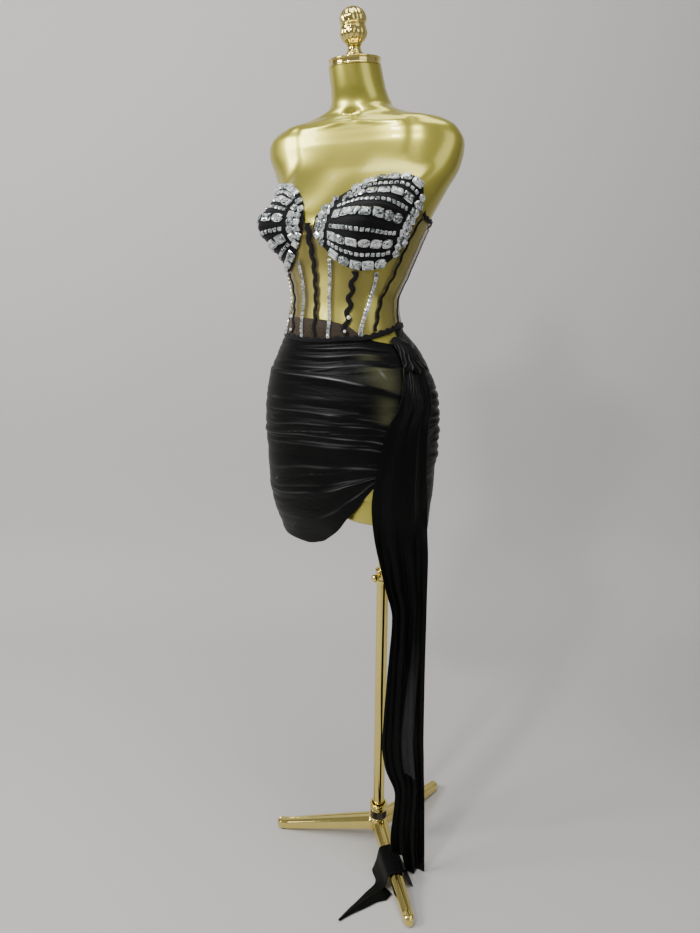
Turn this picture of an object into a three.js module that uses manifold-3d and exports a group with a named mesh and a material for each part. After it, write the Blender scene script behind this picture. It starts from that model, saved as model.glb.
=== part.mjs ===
// A strapless corset top with jewelled cups and a ruched wrap skirt with a floor-length train,
// both carried by a limbless dress form on a tripod stand.
// Millimetres, +Z up. The front of the form faces -Y and its left side is +X.

import * as THREE from 'three';
import { mergeVertices } from 'three/addons/utils/BufferGeometryUtils.js';
import Module from 'manifold-3d';

const wasm = await Module();
wasm.setup();

const { degToRad, lerp, clamp, smoothstep } = THREE.MathUtils;

// Driving dimensions

const THIGH_BOTTOM = 757.5;
const CROTCH = 812;
const NECK_TOP = 1575;
const NECK_LEAN = 8;
const NECK_TURN = 14;
const BUST = { angle: 35, height: 1294, spread: 24, above: 58, below: 46, depth: 54 };

const SEAM = 0.3;
const CLOTH = 1.0;
const SKIRT_GAP = 1.1;
const CORSET_GAP = 3.0;
const TRIM_GAP = 4.9;
const TRIM = 1.0;
const TAPE_WIDTH = 8.5;

const POLE = { x: 86, y: 9, radius: 12, top: 622, rodRadius: 9, rodTop: 750.3 };
const HUB = { low: 60.3, ring: 68, knurl: 85, top: 100 };
const FEET = { radius: 230, azimuths: [207, 321.5, 88] };
const LEG = { rootTop: 67, rootLow: 40, tipTop: 23, tipLow: 4, rootHalf: 16.5, tipHalf: 10.5, from: 18, run: 192 };
const CORE = { radius: 20, sides: 24 };

// Tables: each row is one section, in the columns named above it

const SECTIONS = table(['z', 'half', 'front', 'back', 'power', 'shiftX', 'shiftY', 'turn'], [
  [680, 160, 82, 94, 2.3, 0, 5, 0],
  [700, 168, 87, 99, 2.3, 0, 4, 0],
  [760, 174, 95, 108, 2.35, 0, 2, 0],
  [820, 177, 102, 118, 2.4, 0, 0, 0],
  [890, 180, 106, 124, 2.4, 0, 0, 0],
  [950, 182, 107, 124, 2.35, 0, 0, 0],
  [1010, 176, 103, 112, 2.3, 0, 0, 0],
  [1070, 150, 94, 92, 2.2, 0, 0, 0],
  [1120, 115, 85, 78, 2.1, 0, -10, 0],
  [1165, 105, 81, 76, 2.1, 0, -8, 0],
  [1210, 120, 86, 78, 2.1, 0, 0, 0],
  [1260, 135, 96, 84, 2.1, 0, 12, 1],
  [1310, 150, 104, 84, 2.2, 0, 24, 4],
  [1360, 167, 92, 88, 2.2, 0, 38, 9],
  [1400, 183, 75, 86, 2.3, 0, 46, 13],
  [1440, 193, 58, 78, 2.4, -2, 42, 14],
  [1462, 184, 50, 68, 2.4, -2, 36, 14],
  [1480, 156, 45, 60, 2.2, -3, 34, 14],
  [1492, 104, 46, 55, 2.0, -4, 38, 14],
  [1510, 61, 48, 52, 2.0, -5, 42, 14],
  [1540, 51, 47, 49, 2.0, -6, 34, 14],
  [1575, 48, 46, 46, 2.0, -8, 26, 14],
]);

// Corset seams: how far round the front each boning line stands at each height
const SEAMS = table(['z', 'front', 'side', 'back'], [
  [1080, 24, 52, 86],
  [1106, 28, 58, 90],
  [1132, 32, 64, 96],
  [1158, 35, 70, 101],
  [1184, 36, 75, 106],
  [1218, 37, 79, 110],
  [1260, 38, 82, 112],
  [1320, 39, 87, 113],
]);

// Corset edges round the body: hem below, mesh edge above
const CORSET = table(['angle', 'hem', 'top'], [
  [0, 1094, 1302],
  [3, 1094, 1296],
  [8, 1094, 1267],
  [17, 1096, 1245],
  [28, 1098, 1229],
  [42, 1099, 1221],
  [59, 1105, 1225],
  [71, 1110, 1243],
  [77, 1112, 1265],
  [80, 1113, 1291],
  [83, 1115, 1317],
  [92, 1118, 1308],
  [120, 1120, 1301],
  [180, 1118, 1292],
]);

// The corset sits turned a little to the wearer's right towards its top
const TWIST = { angle: -4.5, from: 1130, to: 1290 };

// Cup outline from its inner corner (0) to its outer end (1)
const CUP = table(['along', 'lowAngle', 'lowZ', 'highAngle', 'highZ'], [
  [0.0, 3, 1288, 3, 1308],
  [0.12, 8, 1262, 9, 1338],
  [0.26, 17, 1240, 19, 1361],
  [0.4, 28, 1224, 30, 1375],
  [0.56, 42, 1216, 44, 1377],
  [0.72, 57, 1219, 58, 1366],
  [0.86, 70, 1236, 70, 1345],
  [0.94, 77, 1260, 75, 1327],
  [1.0, 80, 1286, 78, 1310],
]);

// Stone rows up the cup: where each starts and ends, and how far it stands out
const STONE_ROWS = rowsOf(['from', 'to', 'rise'], [
  [0.0, 0.1, 4.5],
  [0.13, 0.19, 2.4],
  [0.22, 0.32, 4.5],
  [0.36, 0.43, 2.4],
  [0.51, 0.62, 4.5],
  [0.67, 0.73, 2.4],
  [0.75, 0.85, 4.5],
  [0.87, 0.91, 2.4],
  [0.93, 1.0, 4.5],
]);

// Skirt edges round the body
const SKIRT_TOP = table(['angle', 'z'], [
  [-95, 1130], [-35, 1135], [0, 1133], [32, 1122], [43, 1106], [53, 1096], [67, 1091], [78, 1086],
]);
const SKIRT_HEM = table(['angle', 'z'], [
  [-95, 694], [-36, 690], [-16, 690], [-2, 700], [5, 716], [13, 738], [20, 766], [28, 790], [37, 822], [46, 846],
]);
const WRAP_EDGE = table(['z', 'angle'], [
  [815, 42], [850, 46], [900, 52], [940, 58], [990, 66], [1040, 72], [1092, 76],
]);
const BACK_TOP = table(['angle', 'z'], [
  [84, 1100], [94, 1127], [120, 1128], [180, 1124], [270, 1130],
]);
const BACK_HEM = table(['angle', 'z'], [
  [84, 735], [120, 725], [180, 712], [270, 694],
]);

// Folds of the wrap front, top to bottom: heights at the side seam, across the front and at the wrap edge
const FRONT_FOLDS = rowsOf(['seam', 'right', 'middle', 'left', 'edge', 'rise'], [
  [1106, 1096, 1090, 1090, 1084, 0],
  [1096, 1085, 1080, 1084, 1079, 2],
  [1088, 1077, 1073, 1078, 1073, 0.2],
  [1076, 1069, 1065, 1072, 1067, 2.2],
  [1062, 1058, 1056, 1062, 1059, 0.2],
  [1050, 1046, 1046, 1054, 1050, 1.5],
  [1042, 1038, 1037, 1036, 1034, 0.2],
  [1034, 1031, 1030, 1019, 1006, 4],
  [1022, 1018, 1016, 1006, 996, 0.2],
  [996, 992, 990, 985, 980, 1.2],
  [976, 972, 975, 970, 964, 0.2],
  [962, 960, 964, 959, 951, 2.5],
  [949, 947, 953, 952, 942, 0.3],
  [935, 930, 942, 945, 933, 2.5],
  [924, 921, 930, 933, 922, 0.2],
  [914, 911, 920, 921, 910, 4],
  [906, 903, 911, 913, 902, 0.2],
  [896, 895, 902, 906, 895, 2.2],
  [872, 872, 880, 888, 878, 0.2],
  [846, 841, 860, 870, 866, 2],
  [826, 822, 842, 858, 859, 0.2],
]);
// Below those the rows share out the height that is left above the hem
const HEM_FOLDS = rowsOf(['share', 'rise'], [
  [0.86, 1.6], [0.76, 4], [0.66, 0.2], [0.52, 1], [0.38, 1.8], [0.2, 0.2], [0, 0],
]);

// Folds of the back, fanning out from the hip gather
const BACK_FOLDS = rowsOf(['edge', 'hip', 'middle', 'seam', 'rise'], [
  [1084, 1108, 1106, 1112, 0],
  [1074, 1092, 1091, 1100, 2.5],
  [1062, 1072, 1070, 1088, 0.2],
  [1050, 1053, 1051, 1062, 3],
  [1036, 1036, 1036, 1042, 0.2],
  [1022, 1019, 1018, 1030, 3],
  [1008, 1004, 1000, 1012, 0.2],
  [994, 989, 982, 990, 3],
  [978, 973, 964, 974, 0.2],
  [962, 957, 947, 958, 3],
  [946, 941, 930, 935, 0.2],
  [928, 924, 912, 914, 3.5],
  [908, 903, 890, 896, 0.2],
  [884, 878, 866, 860, 3],
  [858, 850, 836, 832, 0.2],
  [830, 820, 804, 800, 3],
  [796, 784, 770, 766, 0.2],
]);

// The gathered tuck at the left hip: its heights, the angles of its ends, and how far it stands out
const GATHER = { low: 1060.4, high: 1103, front: 69, rear: 91, gap: 4.4, swell: 6 };

// The train: its edges where it lies on the hip, as angles, then where it hangs free, as places
const TRAIN_ON_HIP = table(['z', 'front', 'rear'], [
  [740, 37, 93], [800, 38, 92], [840, 40, 90], [890, 44, 88], [940, 48, 87], [984, 58, 91], [1030, 64, 90], [1064, 69, 88],
  [1086, 72, 86],
]);
const TRAIN_FREE = table(['z', 'frontX', 'frontY', 'rearX', 'rearY'], [
  [0, 171, -58, 212, -1],
  [99, 165, -62, 208, -2],
  [202, 171, -58, 204, -3],
  [264, 155, -70, 202, -4],
  [318, 149, -75, 200, -5],
  [455, 154, -71, 199, -6],
  [586, 160, -67, 198, -6],
  [646, 149, -75, 198, -6],
  [727, 136, -85, 197, -6],
  [860, 128, -91, 196, -6],
]);
const TRAIN_ROWS = [1060, 1045, 1025, 984, 935, 880, 830, 780, 727, 646, 586, 455, 318, 264, 202, 99];
const TRAIN = { pleats: 3, hipDepth: 2.6, hipGap: 8.2, freeDepth: 6.5, thickness: 1.2, overLeg: 56, bottom: 5 };

// The train's tail past the tripod leg: near and far edges on the floor, then its pointed tip
const TAIL_FLOOR = rowsOf(['nearX', 'nearY', 'farX', 'farY', 'high'], [
  [147, -84, 194, -92, 3.4],
  [152, -98, 194, -108, 3.2],
  [150, -122, 183, -126, 2.8],
  [149, -150, 172, -153, 2.6],
  [147, -180, 159, -183, 2.4],
  [147, -206, 151, -208, 2.2],
]);
const TAIL = { from: 76, to: 138, clearance: 0.9, thickness: 1.4 };

// Tables read by name: a monotone cubic through each column

function rowsOf(columns, rows) {
  return rows.map((row) => Object.fromEntries(columns.map((name, k) => [name, row[k]])));
}

function table(columns, rows) {
  const xs = rows.map((row) => row[0]);
  const tracks = {};
  columns.slice(1).forEach((name, k) => {
    tracks[name] = monotoneCubic(xs, rows.map((row) => row[k + 1]));
  });
  return tracks;
}

function monotoneCubic(xs, ys) {
  const last = xs.length - 1;
  const slope = (k) => (ys[k + 1] - ys[k]) / (xs[k + 1] - xs[k]);
  const tangent = xs.map((_, k) => {
    if (k === 0) return slope(0);
    if (k === last) return slope(last - 1);
    const before = slope(k - 1);
    const after = slope(k);
    return before * after <= 0 ? 0 : (2 * before * after) / (before + after);
  });
  return (x) => {
    const at = clamp(x, xs[0], xs[last]);
    let k = 0;
    while (k < last - 1 && at > xs[k + 1]) k += 1;
    const width = xs[k + 1] - xs[k];
    const t = (at - xs[k]) / width;
    const rest = 1 - t;
    return ys[k] * (1 + 2 * t) * rest * rest + width * tangent[k] * t * rest * rest
      + ys[k + 1] * t * t * (3 - 2 * t) - width * tangent[k + 1] * t * t * rest;
  };
}

// The body: the point at an angle round the front, a height, and a distance out from the form's surface

function bustAt(angle, z, side) {
  const spreadZ = z > BUST.height ? BUST.above : BUST.below;
  const away = (((angle - side * BUST.angle + 180) % 360) + 360) % 360 - 180;
  return BUST.depth * Math.exp(-((away / BUST.spread) ** 2) - ((z - BUST.height) / spreadZ) ** 2);
}

function onBody(angle, z, out = 0) {
  const a = degToRad(angle);
  const power = 2 / SECTIONS.power(z);
  const front = Math.cos(a) > 0;
  let x = SECTIONS.half(z) * Math.sign(Math.sin(a)) * Math.abs(Math.sin(a)) ** power;
  let y = -(front ? SECTIONS.front(z) : SECTIONS.back(z)) * Math.sign(Math.cos(a)) * Math.abs(Math.cos(a)) ** power;
  for (const side of [-1, 1]) {
    const swell = bustAt(angle, z, side);
    const facing = degToRad(side * BUST.angle * 0.6);
    x += swell * Math.sin(facing);
    y -= swell * Math.cos(facing);
  }
  const reach = Math.hypot(x, y);
  x *= 1 + out / reach;
  y *= 1 + out / reach;
  const turn = degToRad(SECTIONS.turn(z));
  const lean = smoothstep(z, 1500, NECK_TOP) * Math.tan(degToRad(NECK_LEAN));
  return new THREE.Vector3(
    SECTIONS.shiftX(z) + x * Math.cos(turn) - y * Math.sin(turn),
    SECTIONS.shiftY(z) + x * Math.sin(turn) + y * Math.cos(turn),
    z + lean * y,
  );
}

// Closed solids

function solid(points, triangles) {
  let volume = 0;
  for (const [i, j, k] of triangles) volume += points[i].dot(points[j].clone().cross(points[k]));
  const faces = volume > 0 ? triangles : triangles.map(([i, j, k]) => [i, k, j]);
  const geometry = new THREE.BufferGeometry();
  geometry.setAttribute('position', new THREE.Float32BufferAttribute(points.flatMap((p) => p.toArray()), 3));
  geometry.setIndex(faces.flat());
  geometry.computeVertexNormals();
  return geometry;
}

// A wall between two grids of points, outer and inner, closed by a rim all round
function wall(outer, inner) {
  const rows = outer.length;
  const cols = outer[0].length;
  const points = [...outer.flat(), ...inner.flat()];
  const at = (side, i, j) => side * rows * cols + i * cols + j;
  const triangles = [];
  const quad = (a, b, c, d) => triangles.push([a, b, c], [a, c, d]);
  for (let i = 0; i < rows - 1; i += 1) {
    for (let j = 0; j < cols - 1; j += 1) {
      quad(at(0, i, j), at(0, i, j + 1), at(0, i + 1, j + 1), at(0, i + 1, j));
      quad(at(1, i, j), at(1, i + 1, j), at(1, i + 1, j + 1), at(1, i, j + 1));
    }
  }
  for (let j = 0; j < cols - 1; j += 1) {
    quad(at(0, 0, j), at(1, 0, j), at(1, 0, j + 1), at(0, 0, j + 1));
    quad(at(0, rows - 1, j), at(0, rows - 1, j + 1), at(1, rows - 1, j + 1), at(1, rows - 1, j));
  }
  for (let i = 0; i < rows - 1; i += 1) {
    quad(at(0, i, 0), at(0, i + 1, 0), at(1, i + 1, 0), at(1, i, 0));
    quad(at(0, i, cols - 1), at(1, i, cols - 1), at(1, i + 1, cols - 1), at(0, i + 1, cols - 1));
  }
  return solid(points, triangles);
}

// A body through closed rings of points, with a fan over each end
function loft(rings) {
  const sides = rings[0].length;
  const points = rings.flat();
  const triangles = [];
  const at = (i, j) => i * sides + (j % sides);
  for (let i = 0; i < rings.length - 1; i += 1) {
    for (let j = 0; j < sides; j += 1) {
      triangles.push([at(i, j), at(i, j + 1), at(i + 1, j + 1)], [at(i, j), at(i + 1, j + 1), at(i + 1, j)]);
    }
  }
  for (const [ring, flip] of [[0, true], [rings.length - 1, false]]) {
    const middle = rings[ring].reduce((sum, p) => sum.add(p), new THREE.Vector3()).divideScalar(sides);
    points.push(middle);
    for (let j = 0; j < sides; j += 1) {
      const pair = flip ? [at(ring, j + 1), at(ring, j)] : [at(ring, j), at(ring, j + 1)];
      triangles.push([points.length - 1, ...pair]);
    }
  }
  return solid(points, triangles);
}

function grid(rows, cols, at) {
  return Array.from({ length: rows }, (_, i) => Array.from({ length: cols }, (__, j) => at(i, j)));
}

// A sheet of cloth given by its middle surface, thickened half to each side
function sheet(middle, thickness) {
  const rows = middle.length;
  const cols = middle[0].length;
  const offset = (i, j, way) => {
    const across = middle[i][Math.min(j + 1, cols - 1)].clone().sub(middle[i][Math.max(j - 1, 0)]);
    const along = middle[Math.min(i + 1, rows - 1)][j].clone().sub(middle[Math.max(i - 1, 0)][j]);
    return middle[i][j].clone().addScaledVector(across.cross(along).normalize(), way * thickness / 2);
  };
  return wall(grid(rows, cols, (i, j) => offset(i, j, 1)), grid(rows, cols, (i, j) => offset(i, j, -1)));
}

// Cloth on the body: a grid of angles and heights between two distances out
function bodyWall(rows, cols, place, inner, outer) {
  const layer = (out) => grid(rows, cols, (i, j) => {
    const { angle, z, rise = 0 } = place(i, j);
    return onBody(angle, z, out + rise);
  });
  return wall(layer(outer), layer(inner));
}

// Turned pieces: a profile of radius and height pairs round the Z axis
function turned(profile, sides = 16) {
  const geometry = new THREE.LatheGeometry(profile.map(([r, h]) => new THREE.Vector2(r, h)), sides);
  geometry.rotateX(Math.PI / 2);
  return closed(geometry);
}

function ringOf(inner, outer, low, high) {
  return turned([[inner, low], [outer, low], [outer, high], [inner, high], [inner, low]]);
}

function closed(geometry) {
  geometry.deleteAttribute('normal');
  geometry.deleteAttribute('uv');
  const merged = mergeVertices(geometry, 1e-4);
  const index = merged.index.array;
  const p = merged.attributes.position;
  const points = Array.from({ length: p.count }, (_, k) => new THREE.Vector3().fromBufferAttribute(p, k));
  const triangles = [];
  for (let k = 0; k < index.length; k += 3) {
    const [a, b, c] = [index[k], index[k + 1], index[k + 2]];
    if (a !== b && b !== c && c !== a) triangles.push([a, b, c]);
  }
  return solid(points, triangles);
}

// Joins and cuts

function toManifold(geometry) {
  const position = geometry.attributes.position.array;
  return new wasm.Manifold(new wasm.Mesh({
    numProp: 3,
    vertProperties: new Float32Array(position),
    triVerts: new Uint32Array(geometry.index.array),
  }));
}

function fromManifold(shape) {
  const mesh = shape.getMesh();
  const geometry = new THREE.BufferGeometry();
  geometry.setAttribute('position', new THREE.Float32BufferAttribute(mesh.vertProperties, 3));
  geometry.setIndex(Array.from(mesh.triVerts));
  geometry.computeVertexNormals();
  return geometry;
}

// Materials

const finish = {
  form: new THREE.MeshStandardMaterial({ color: 0xb3a552, roughness: 0.28, metalness: 0.35 }),
  gold: new THREE.MeshStandardMaterial({ color: 0xd6b45a, roughness: 0.12, metalness: 1 }),
  knurl: new THREE.MeshStandardMaterial({ color: 0x2a2418, roughness: 0.45, metalness: 0.9 }),
  rubber: new THREE.MeshStandardMaterial({ color: 0x1a1a1a, roughness: 0.9 }),
  skirt: new THREE.MeshStandardMaterial({ color: 0x0c0d0c, roughness: 0.38 }),
  mesh: new THREE.MeshStandardMaterial({ color: 0xb59a63, roughness: 0.7 }),
  trim: new THREE.MeshStandardMaterial({ color: 0x0a0908, roughness: 0.8 }),
  stones: new THREE.MeshStandardMaterial({ color: 0xc9cfd2, roughness: 0.15, metalness: 0.2 }),
};

const part = new THREE.Group();

function add(name, geometry, material) {
  const mesh = new THREE.Mesh(geometry, material);
  mesh.name = name;
  part.add(mesh);
  return mesh;
}

// Dress form: torso and two thigh stubs in one moulding

function formBody() {
  const angles = [0, 7, 14, 21, 28, 35, 43, 52, 64, 78, 94, 112, 130, 148, 165];
  const round = [...angles, 180, ...angles.slice(1).reverse().map((a) => -a)];
  const heights = [
    CROTCH, 860, 910, 960, 1005, 1040, 1070, 1090, 1104, 1114, 1124, 1136, 1152, 1174, 1198, 1224, 1250,
    1272, 1294, 1320, 1350, 1380, 1410, 1436, 1456, 1472, 1484, 1494, 1510, 1540, NECK_TOP,
  ];
  const torso = loft(heights.map((z) => round.map((angle) => onBody(angle, z))));
  let body = toManifold(torso);
  for (const side of [-1, 1]) body = body.add(toManifold(thigh(side)));
  return fromManifold(body);
}

function thigh(side) {
  const centre = 87;
  const half = 83;
  const steps = 18;
  const sections = rowsOf(['z', 'size'], [
    [THIGH_BOTTOM, 0.74], [THIGH_BOTTOM + 3, 0.81], [THIGH_BOTTOM + 12, 0.85], [CROTCH + 6, 0.85], [CROTCH + 40, 0.82],
  ]);
  return loft(sections.map(({ z, size }) => Array.from({ length: steps }, (_, k) => {
    const a = (2 * Math.PI * k) / steps;
    const depth = (Math.cos(a) > 0 ? SECTIONS.front(z) : SECTIONS.back(z)) * size;
    const width = half * size / 0.85;
    return new THREE.Vector3(side * centre + width * Math.sin(a), SECTIONS.shiftY(z) - depth * Math.cos(a), z);
  })));
}

add('form_body', formBody(), finish.form);

// Neck cap and finial stand square on the leaning neck
const neck = new THREE.Group();
neck.position.set(SECTIONS.shiftX(NECK_TOP), SECTIONS.shiftY(NECK_TOP), NECK_TOP);
neck.rotation.set(degToRad(NECK_LEAN), 0, degToRad(NECK_TURN), 'ZYX');
part.add(neck);

function addToNeck(name, profile, sides) {
  const mesh = new THREE.Mesh(turned(profile, sides), finish.gold);
  mesh.name = name;
  neck.add(mesh);
}

const CAP = { low: 0.4, high: 14.4, radius: 48, edge: 1.5 };
addToNeck('neck_cap', [
  [0, CAP.low], [CAP.radius - CAP.edge, CAP.low], [CAP.radius, CAP.low + CAP.edge],
  [CAP.radius, CAP.high - CAP.edge], [CAP.radius - CAP.edge, CAP.high], [0, CAP.high],
], 24);
const FINIAL = [
  [0, 0], [17.5, 0], [18, 5], [14, 11], [12, 16], [14, 21], [21, 29], [25, 39], [24.5, 46], [22, 52],
  [24, 57], [24.5, 63], [21, 72], [13, 79], [0, 82],
];
addToNeck('finial', FINIAL.map(([r, h]) => [r, h + CAP.high + SEAM]), 16);

// Stand: pole in two telescoping lengths, clamp collar with its knob, hub, three legs

function atPole(geometry) {
  return geometry.translate(POLE.x, POLE.y, 0);
}

const slip = POLE.radius + SEAM + 0.2;
const rodSlip = POLE.rodRadius + SEAM + 0.2;
const rodLow = 400;
const collar = { low: 612, step: POLE.top + SEAM, high: 642, radius: 15.5 };

add('pole_lower', atPole(turned([
  [0, HUB.low], [POLE.radius, HUB.low], [POLE.radius, POLE.top],
  [rodSlip, POLE.top], [rodSlip, rodLow - SEAM], [0, rodLow - SEAM],
])), finish.gold);
add('pole_upper', atPole(turned([
  [0, rodLow], [POLE.rodRadius, rodLow], [POLE.rodRadius, POLE.rodTop], [0, POLE.rodTop],
])), finish.gold);
add('clamp_collar', atPole(turned([
  [slip, collar.low], [collar.radius, collar.low], [collar.radius, collar.high],
  [rodSlip, collar.high], [rodSlip, collar.step], [slip, collar.step], [slip, collar.low],
])), finish.gold);

const knob = turned([
  [0, 0], [3, 0], [3, 5], [7.5, 6.5], [7.5, 14], [5, 17], [0, 17],
], 14);
knob.rotateX(Math.PI / 2);
knob.translate(POLE.x, POLE.y - collar.radius - SEAM, 629);
add('clamp_knob', knob, finish.gold);

const flangeTop = THIGH_BOTTOM - SEAM;
add('thigh_flange', atPole(turned([
  [rodSlip, flangeTop - 28], [15, flangeTop - 28], [15, flangeTop - 6], [28, flangeTop - 4],
  [28, flangeTop], [0, flangeTop], [0, POLE.rodTop + SEAM], [rodSlip, POLE.rodTop + SEAM],
  [rodSlip, flangeTop - 28],
])), finish.gold);

add('hub_ring', atPole(ringOf(slip, 19.5, HUB.low, HUB.ring)), finish.gold);
add('hub_knurl', atPole(ringOf(slip, 18, HUB.ring + SEAM, HUB.knurl)), finish.knurl);
add('hub_collar', atPole(turned([
  [slip, HUB.knurl + SEAM], [18, HUB.knurl + SEAM], [19, HUB.knurl + 3], [19, HUB.top - 1.5],
  [18, HUB.top], [14, HUB.top], [slip, HUB.top - 8], [slip, HUB.knurl + SEAM],
])), finish.gold);

const coreTop = HUB.low - SEAM;
add('tripod_core', atPole(turned([
  [0, LEG.rootLow - 2], [CORE.radius, LEG.rootLow - 2], [CORE.radius, coreTop], [0, coreTop],
], CORE.sides)), finish.gold);

// The height of a leg's flat top, its half width and the height of its underside, at a distance from the pole
const legShare = (reach) => clamp((reach - LEG.from) / LEG.run, 0, 1);
const legTop = (reach) => lerp(LEG.rootTop, LEG.tipTop, legShare(reach));
const legHalf = (reach) => lerp(LEG.rootHalf, LEG.tipHalf, legShare(reach));
const legLow = (reach) => lerp(LEG.rootLow, LEG.tipLow, legShare(reach));

function leg(azimuth) {
  const reach = FEET.radius;
  const stations = rowsOf(['at', 'width', 'drop'], [
    [10, 1, 0], [LEG.from, 1, 0], [80, 1, 0], [145, 1, 0], [LEG.from + LEG.run, 1, 0],
    [reach - 9, 0.9, 0.6], [reach - 3, 0.66, 2.2], [reach, 0.3, 5],
  ]);
  const sections = stations.map(({ at, width, drop }) => {
    const half = legHalf(at) * width;
    const high = legTop(at) - drop;
    const low = legLow(at);
    const shoulder = lerp(low, high, 0.74);
    const outline = [
      [-half, low], [half, low], [half, shoulder], [half * 0.5, high], [half * 0.12, high - 1.2],
      [-half * 0.12, high - 1.2], [-half * 0.5, high], [-half, shoulder],
    ];
    return outline.map(([side, z]) => new THREE.Vector3(at, side, z));
  });
  const roomy = (CORE.radius + SEAM) / Math.cos(Math.PI / CORE.sides);
  const cutter = turned([[0, 0], [roomy, 0], [roomy, HUB.top], [0, HUB.top]], CORE.sides);
  const geometry = fromManifold(toManifold(loft(sections)).subtract(toManifold(cutter)));
  geometry.rotateZ(degToRad(azimuth));
  return atPole(geometry);
}

FEET.azimuths.forEach((azimuth, k) => {
  add(`leg_${k + 1}`, leg(azimuth), finish.gold);
  const pad = turned([[0, 0], [8, 0], [8, LEG.tipLow - SEAM], [0, LEG.tipLow - SEAM]], 14);
  const reach = FEET.radius - 14;
  pad.translate(reach * Math.cos(degToRad(azimuth)), reach * Math.sin(degToRad(azimuth)), 0);
  add(`foot_pad_${k + 1}`, atPole(pad), finish.rubber);
});

// Skirt: the wrap front from the right side seam to the edge under the train, and the back

const ARC = 0.15;
const SKIRT_ARC = 0.3;
const interpolated = (angles, heights) => monotoneCubic(angles, heights);

// Below the thigh stubs the cloth pulls in on the right
function tuck(angle, z) {
  const round = smoothstep(angle, -150, -80) * (1 - smoothstep(angle, 0, 25));
  return -12 * round * smoothstep(770 - z, 0, 80);
}

// The rows at the waist share out the height between the top edge and the first fold line
const WAIST_ROWS = 3;

function skirtFront() {
  const cols = 18;
  const lines = FRONT_FOLDS.map((fold) => interpolated(
    [-92, -35, 0, 35, 60], [fold.seam, fold.right, fold.middle, fold.left, fold.edge],
  ));
  const last = lines[lines.length - 1];
  const folds = [...FRONT_FOLDS, ...HEM_FOLDS];
  const heightAt = (i, angle) => {
    if (i < WAIST_ROWS) return lerp(SKIRT_TOP.z(angle), lines[0](angle), i / WAIST_ROWS);
    const k = i - WAIST_ROWS;
    if (k < lines.length) return lines[k](angle);
    return lerp(SKIRT_HEM.z(angle), last(angle), folds[k].share);
  };
  const riseAt = (i, angle) => {
    const rise = i < WAIST_ROWS ? 0 : folds[i - WAIST_ROWS].rise;
    return rise * (1 - 0.5 * smoothstep(angle, 25, 50));
  };
  const place = (i, j) => {
    const u = j / (cols - 1);
    let angle = lerp(-92 + SKIRT_ARC, 46, u);
    let z = heightAt(i, angle);
    for (let pass = 0; pass < 6; pass += 1) {
      angle = lerp(-92 + SKIRT_ARC, WRAP_EDGE.angle(z), u);
      z = heightAt(i, angle);
    }
    return { angle, z, rise: riseAt(i, angle) + tuck(angle, z) };
  };
  return bodyWall(WAIST_ROWS + folds.length, cols, place, SKIRT_GAP, SKIRT_GAP + CLOTH);
}

function skirtBack() {
  const cols = 19;
  const lines = BACK_FOLDS.map((fold) => interpolated(
    [84, 110, 180, 268], [fold.edge, fold.hip, fold.middle, fold.seam],
  ));
  const rows = WAIST_ROWS + lines.length + 1;
  const heightAt = (i, angle) => {
    if (i < WAIST_ROWS) return lerp(BACK_TOP.z(angle), lines[0](angle), i / WAIST_ROWS);
    return i === rows - 1 ? BACK_HEM.z(angle) : lines[i - WAIST_ROWS](angle);
  };
  const place = (i, j) => {
    const angle = lerp(84, 268 - SKIRT_ARC, (j / (cols - 1)) ** 1.25);
    const z = heightAt(i, angle);
    const fold = BACK_FOLDS[i - WAIST_ROWS];
    const rise = fold ? fold.rise * (0.5 + 0.5 * smoothstep(angle, 92, 110)) : 0;
    return { angle, z, rise: rise + tuck(angle - 360, z) };
  };
  return bodyWall(rows, cols, place, SKIRT_GAP, SKIRT_GAP + CLOTH);
}

add('skirt_front', skirtFront(), finish.skirt);
add('skirt_back', skirtBack(), finish.skirt);

// Hip gather: a tucked roll of cloth over the top of the train
function hipGather() {
  const rows = 9;
  const cols = 9;
  const { low, high, front, rear, gap, swell } = GATHER;
  const layer = (puff) => grid(rows, cols, (i, j) => {
    const v = i / (rows - 1);
    const u = j / (cols - 1);
    const z = lerp(low, high - 7 * (2 * u - 1) ** 2, v);
    const crown = Math.sin(Math.PI * v) ** 0.7 * Math.sin(Math.PI * clamp(u, 0.04, 0.96)) ** 0.5;
    return onBody(lerp(front, rear, u), z, gap + CLOTH * puff + puff * swell * crown);
  });
  return wall(layer(1), layer(0));
}
add('hip_gather', hipGather(), finish.skirt);

// Train: pleats on the hip, then hanging free to the floor

function trainPoint(u, z) {
  const wave = Math.cos(2 * Math.PI * TRAIN.pleats * u);
  const angle = lerp(TRAIN_ON_HIP.front(z), TRAIN_ON_HIP.rear(z), u);
  const onHip = onBody(angle, Math.max(z, 740), TRAIN.hipGap + TRAIN.hipDepth * wave);
  onHip.z = z;
  const front = new THREE.Vector3(TRAIN_FREE.frontX(z), TRAIN_FREE.frontY(z), z);
  const rear = new THREE.Vector3(TRAIN_FREE.rearX(z), TRAIN_FREE.rearY(z), z);
  const across = rear.clone().sub(front).normalize();
  const outward = new THREE.Vector3(across.y, -across.x, 0);
  const free = front.lerp(rear, u).addScaledVector(outward, TRAIN.freeDepth * wave);
  return onHip.lerp(free, 1 - smoothstep(z, 690, 800));
}

function train() {
  const cols = 4 * TRAIN.pleats + 4;
  const rows = TRAIN_ROWS.length + 1;
  return sheet(grid(rows, cols, (i, j) => {
    const u = j / (cols - 1);
    const bottom = lerp(TRAIN.overLeg, TRAIN.bottom, smoothstep(u, 0.3, 0.5));
    return trainPoint(u, i < TRAIN_ROWS.length ? TRAIN_ROWS[i] : bottom);
  }), TRAIN.thickness);
}
add('train', train(), finish.skirt);

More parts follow.
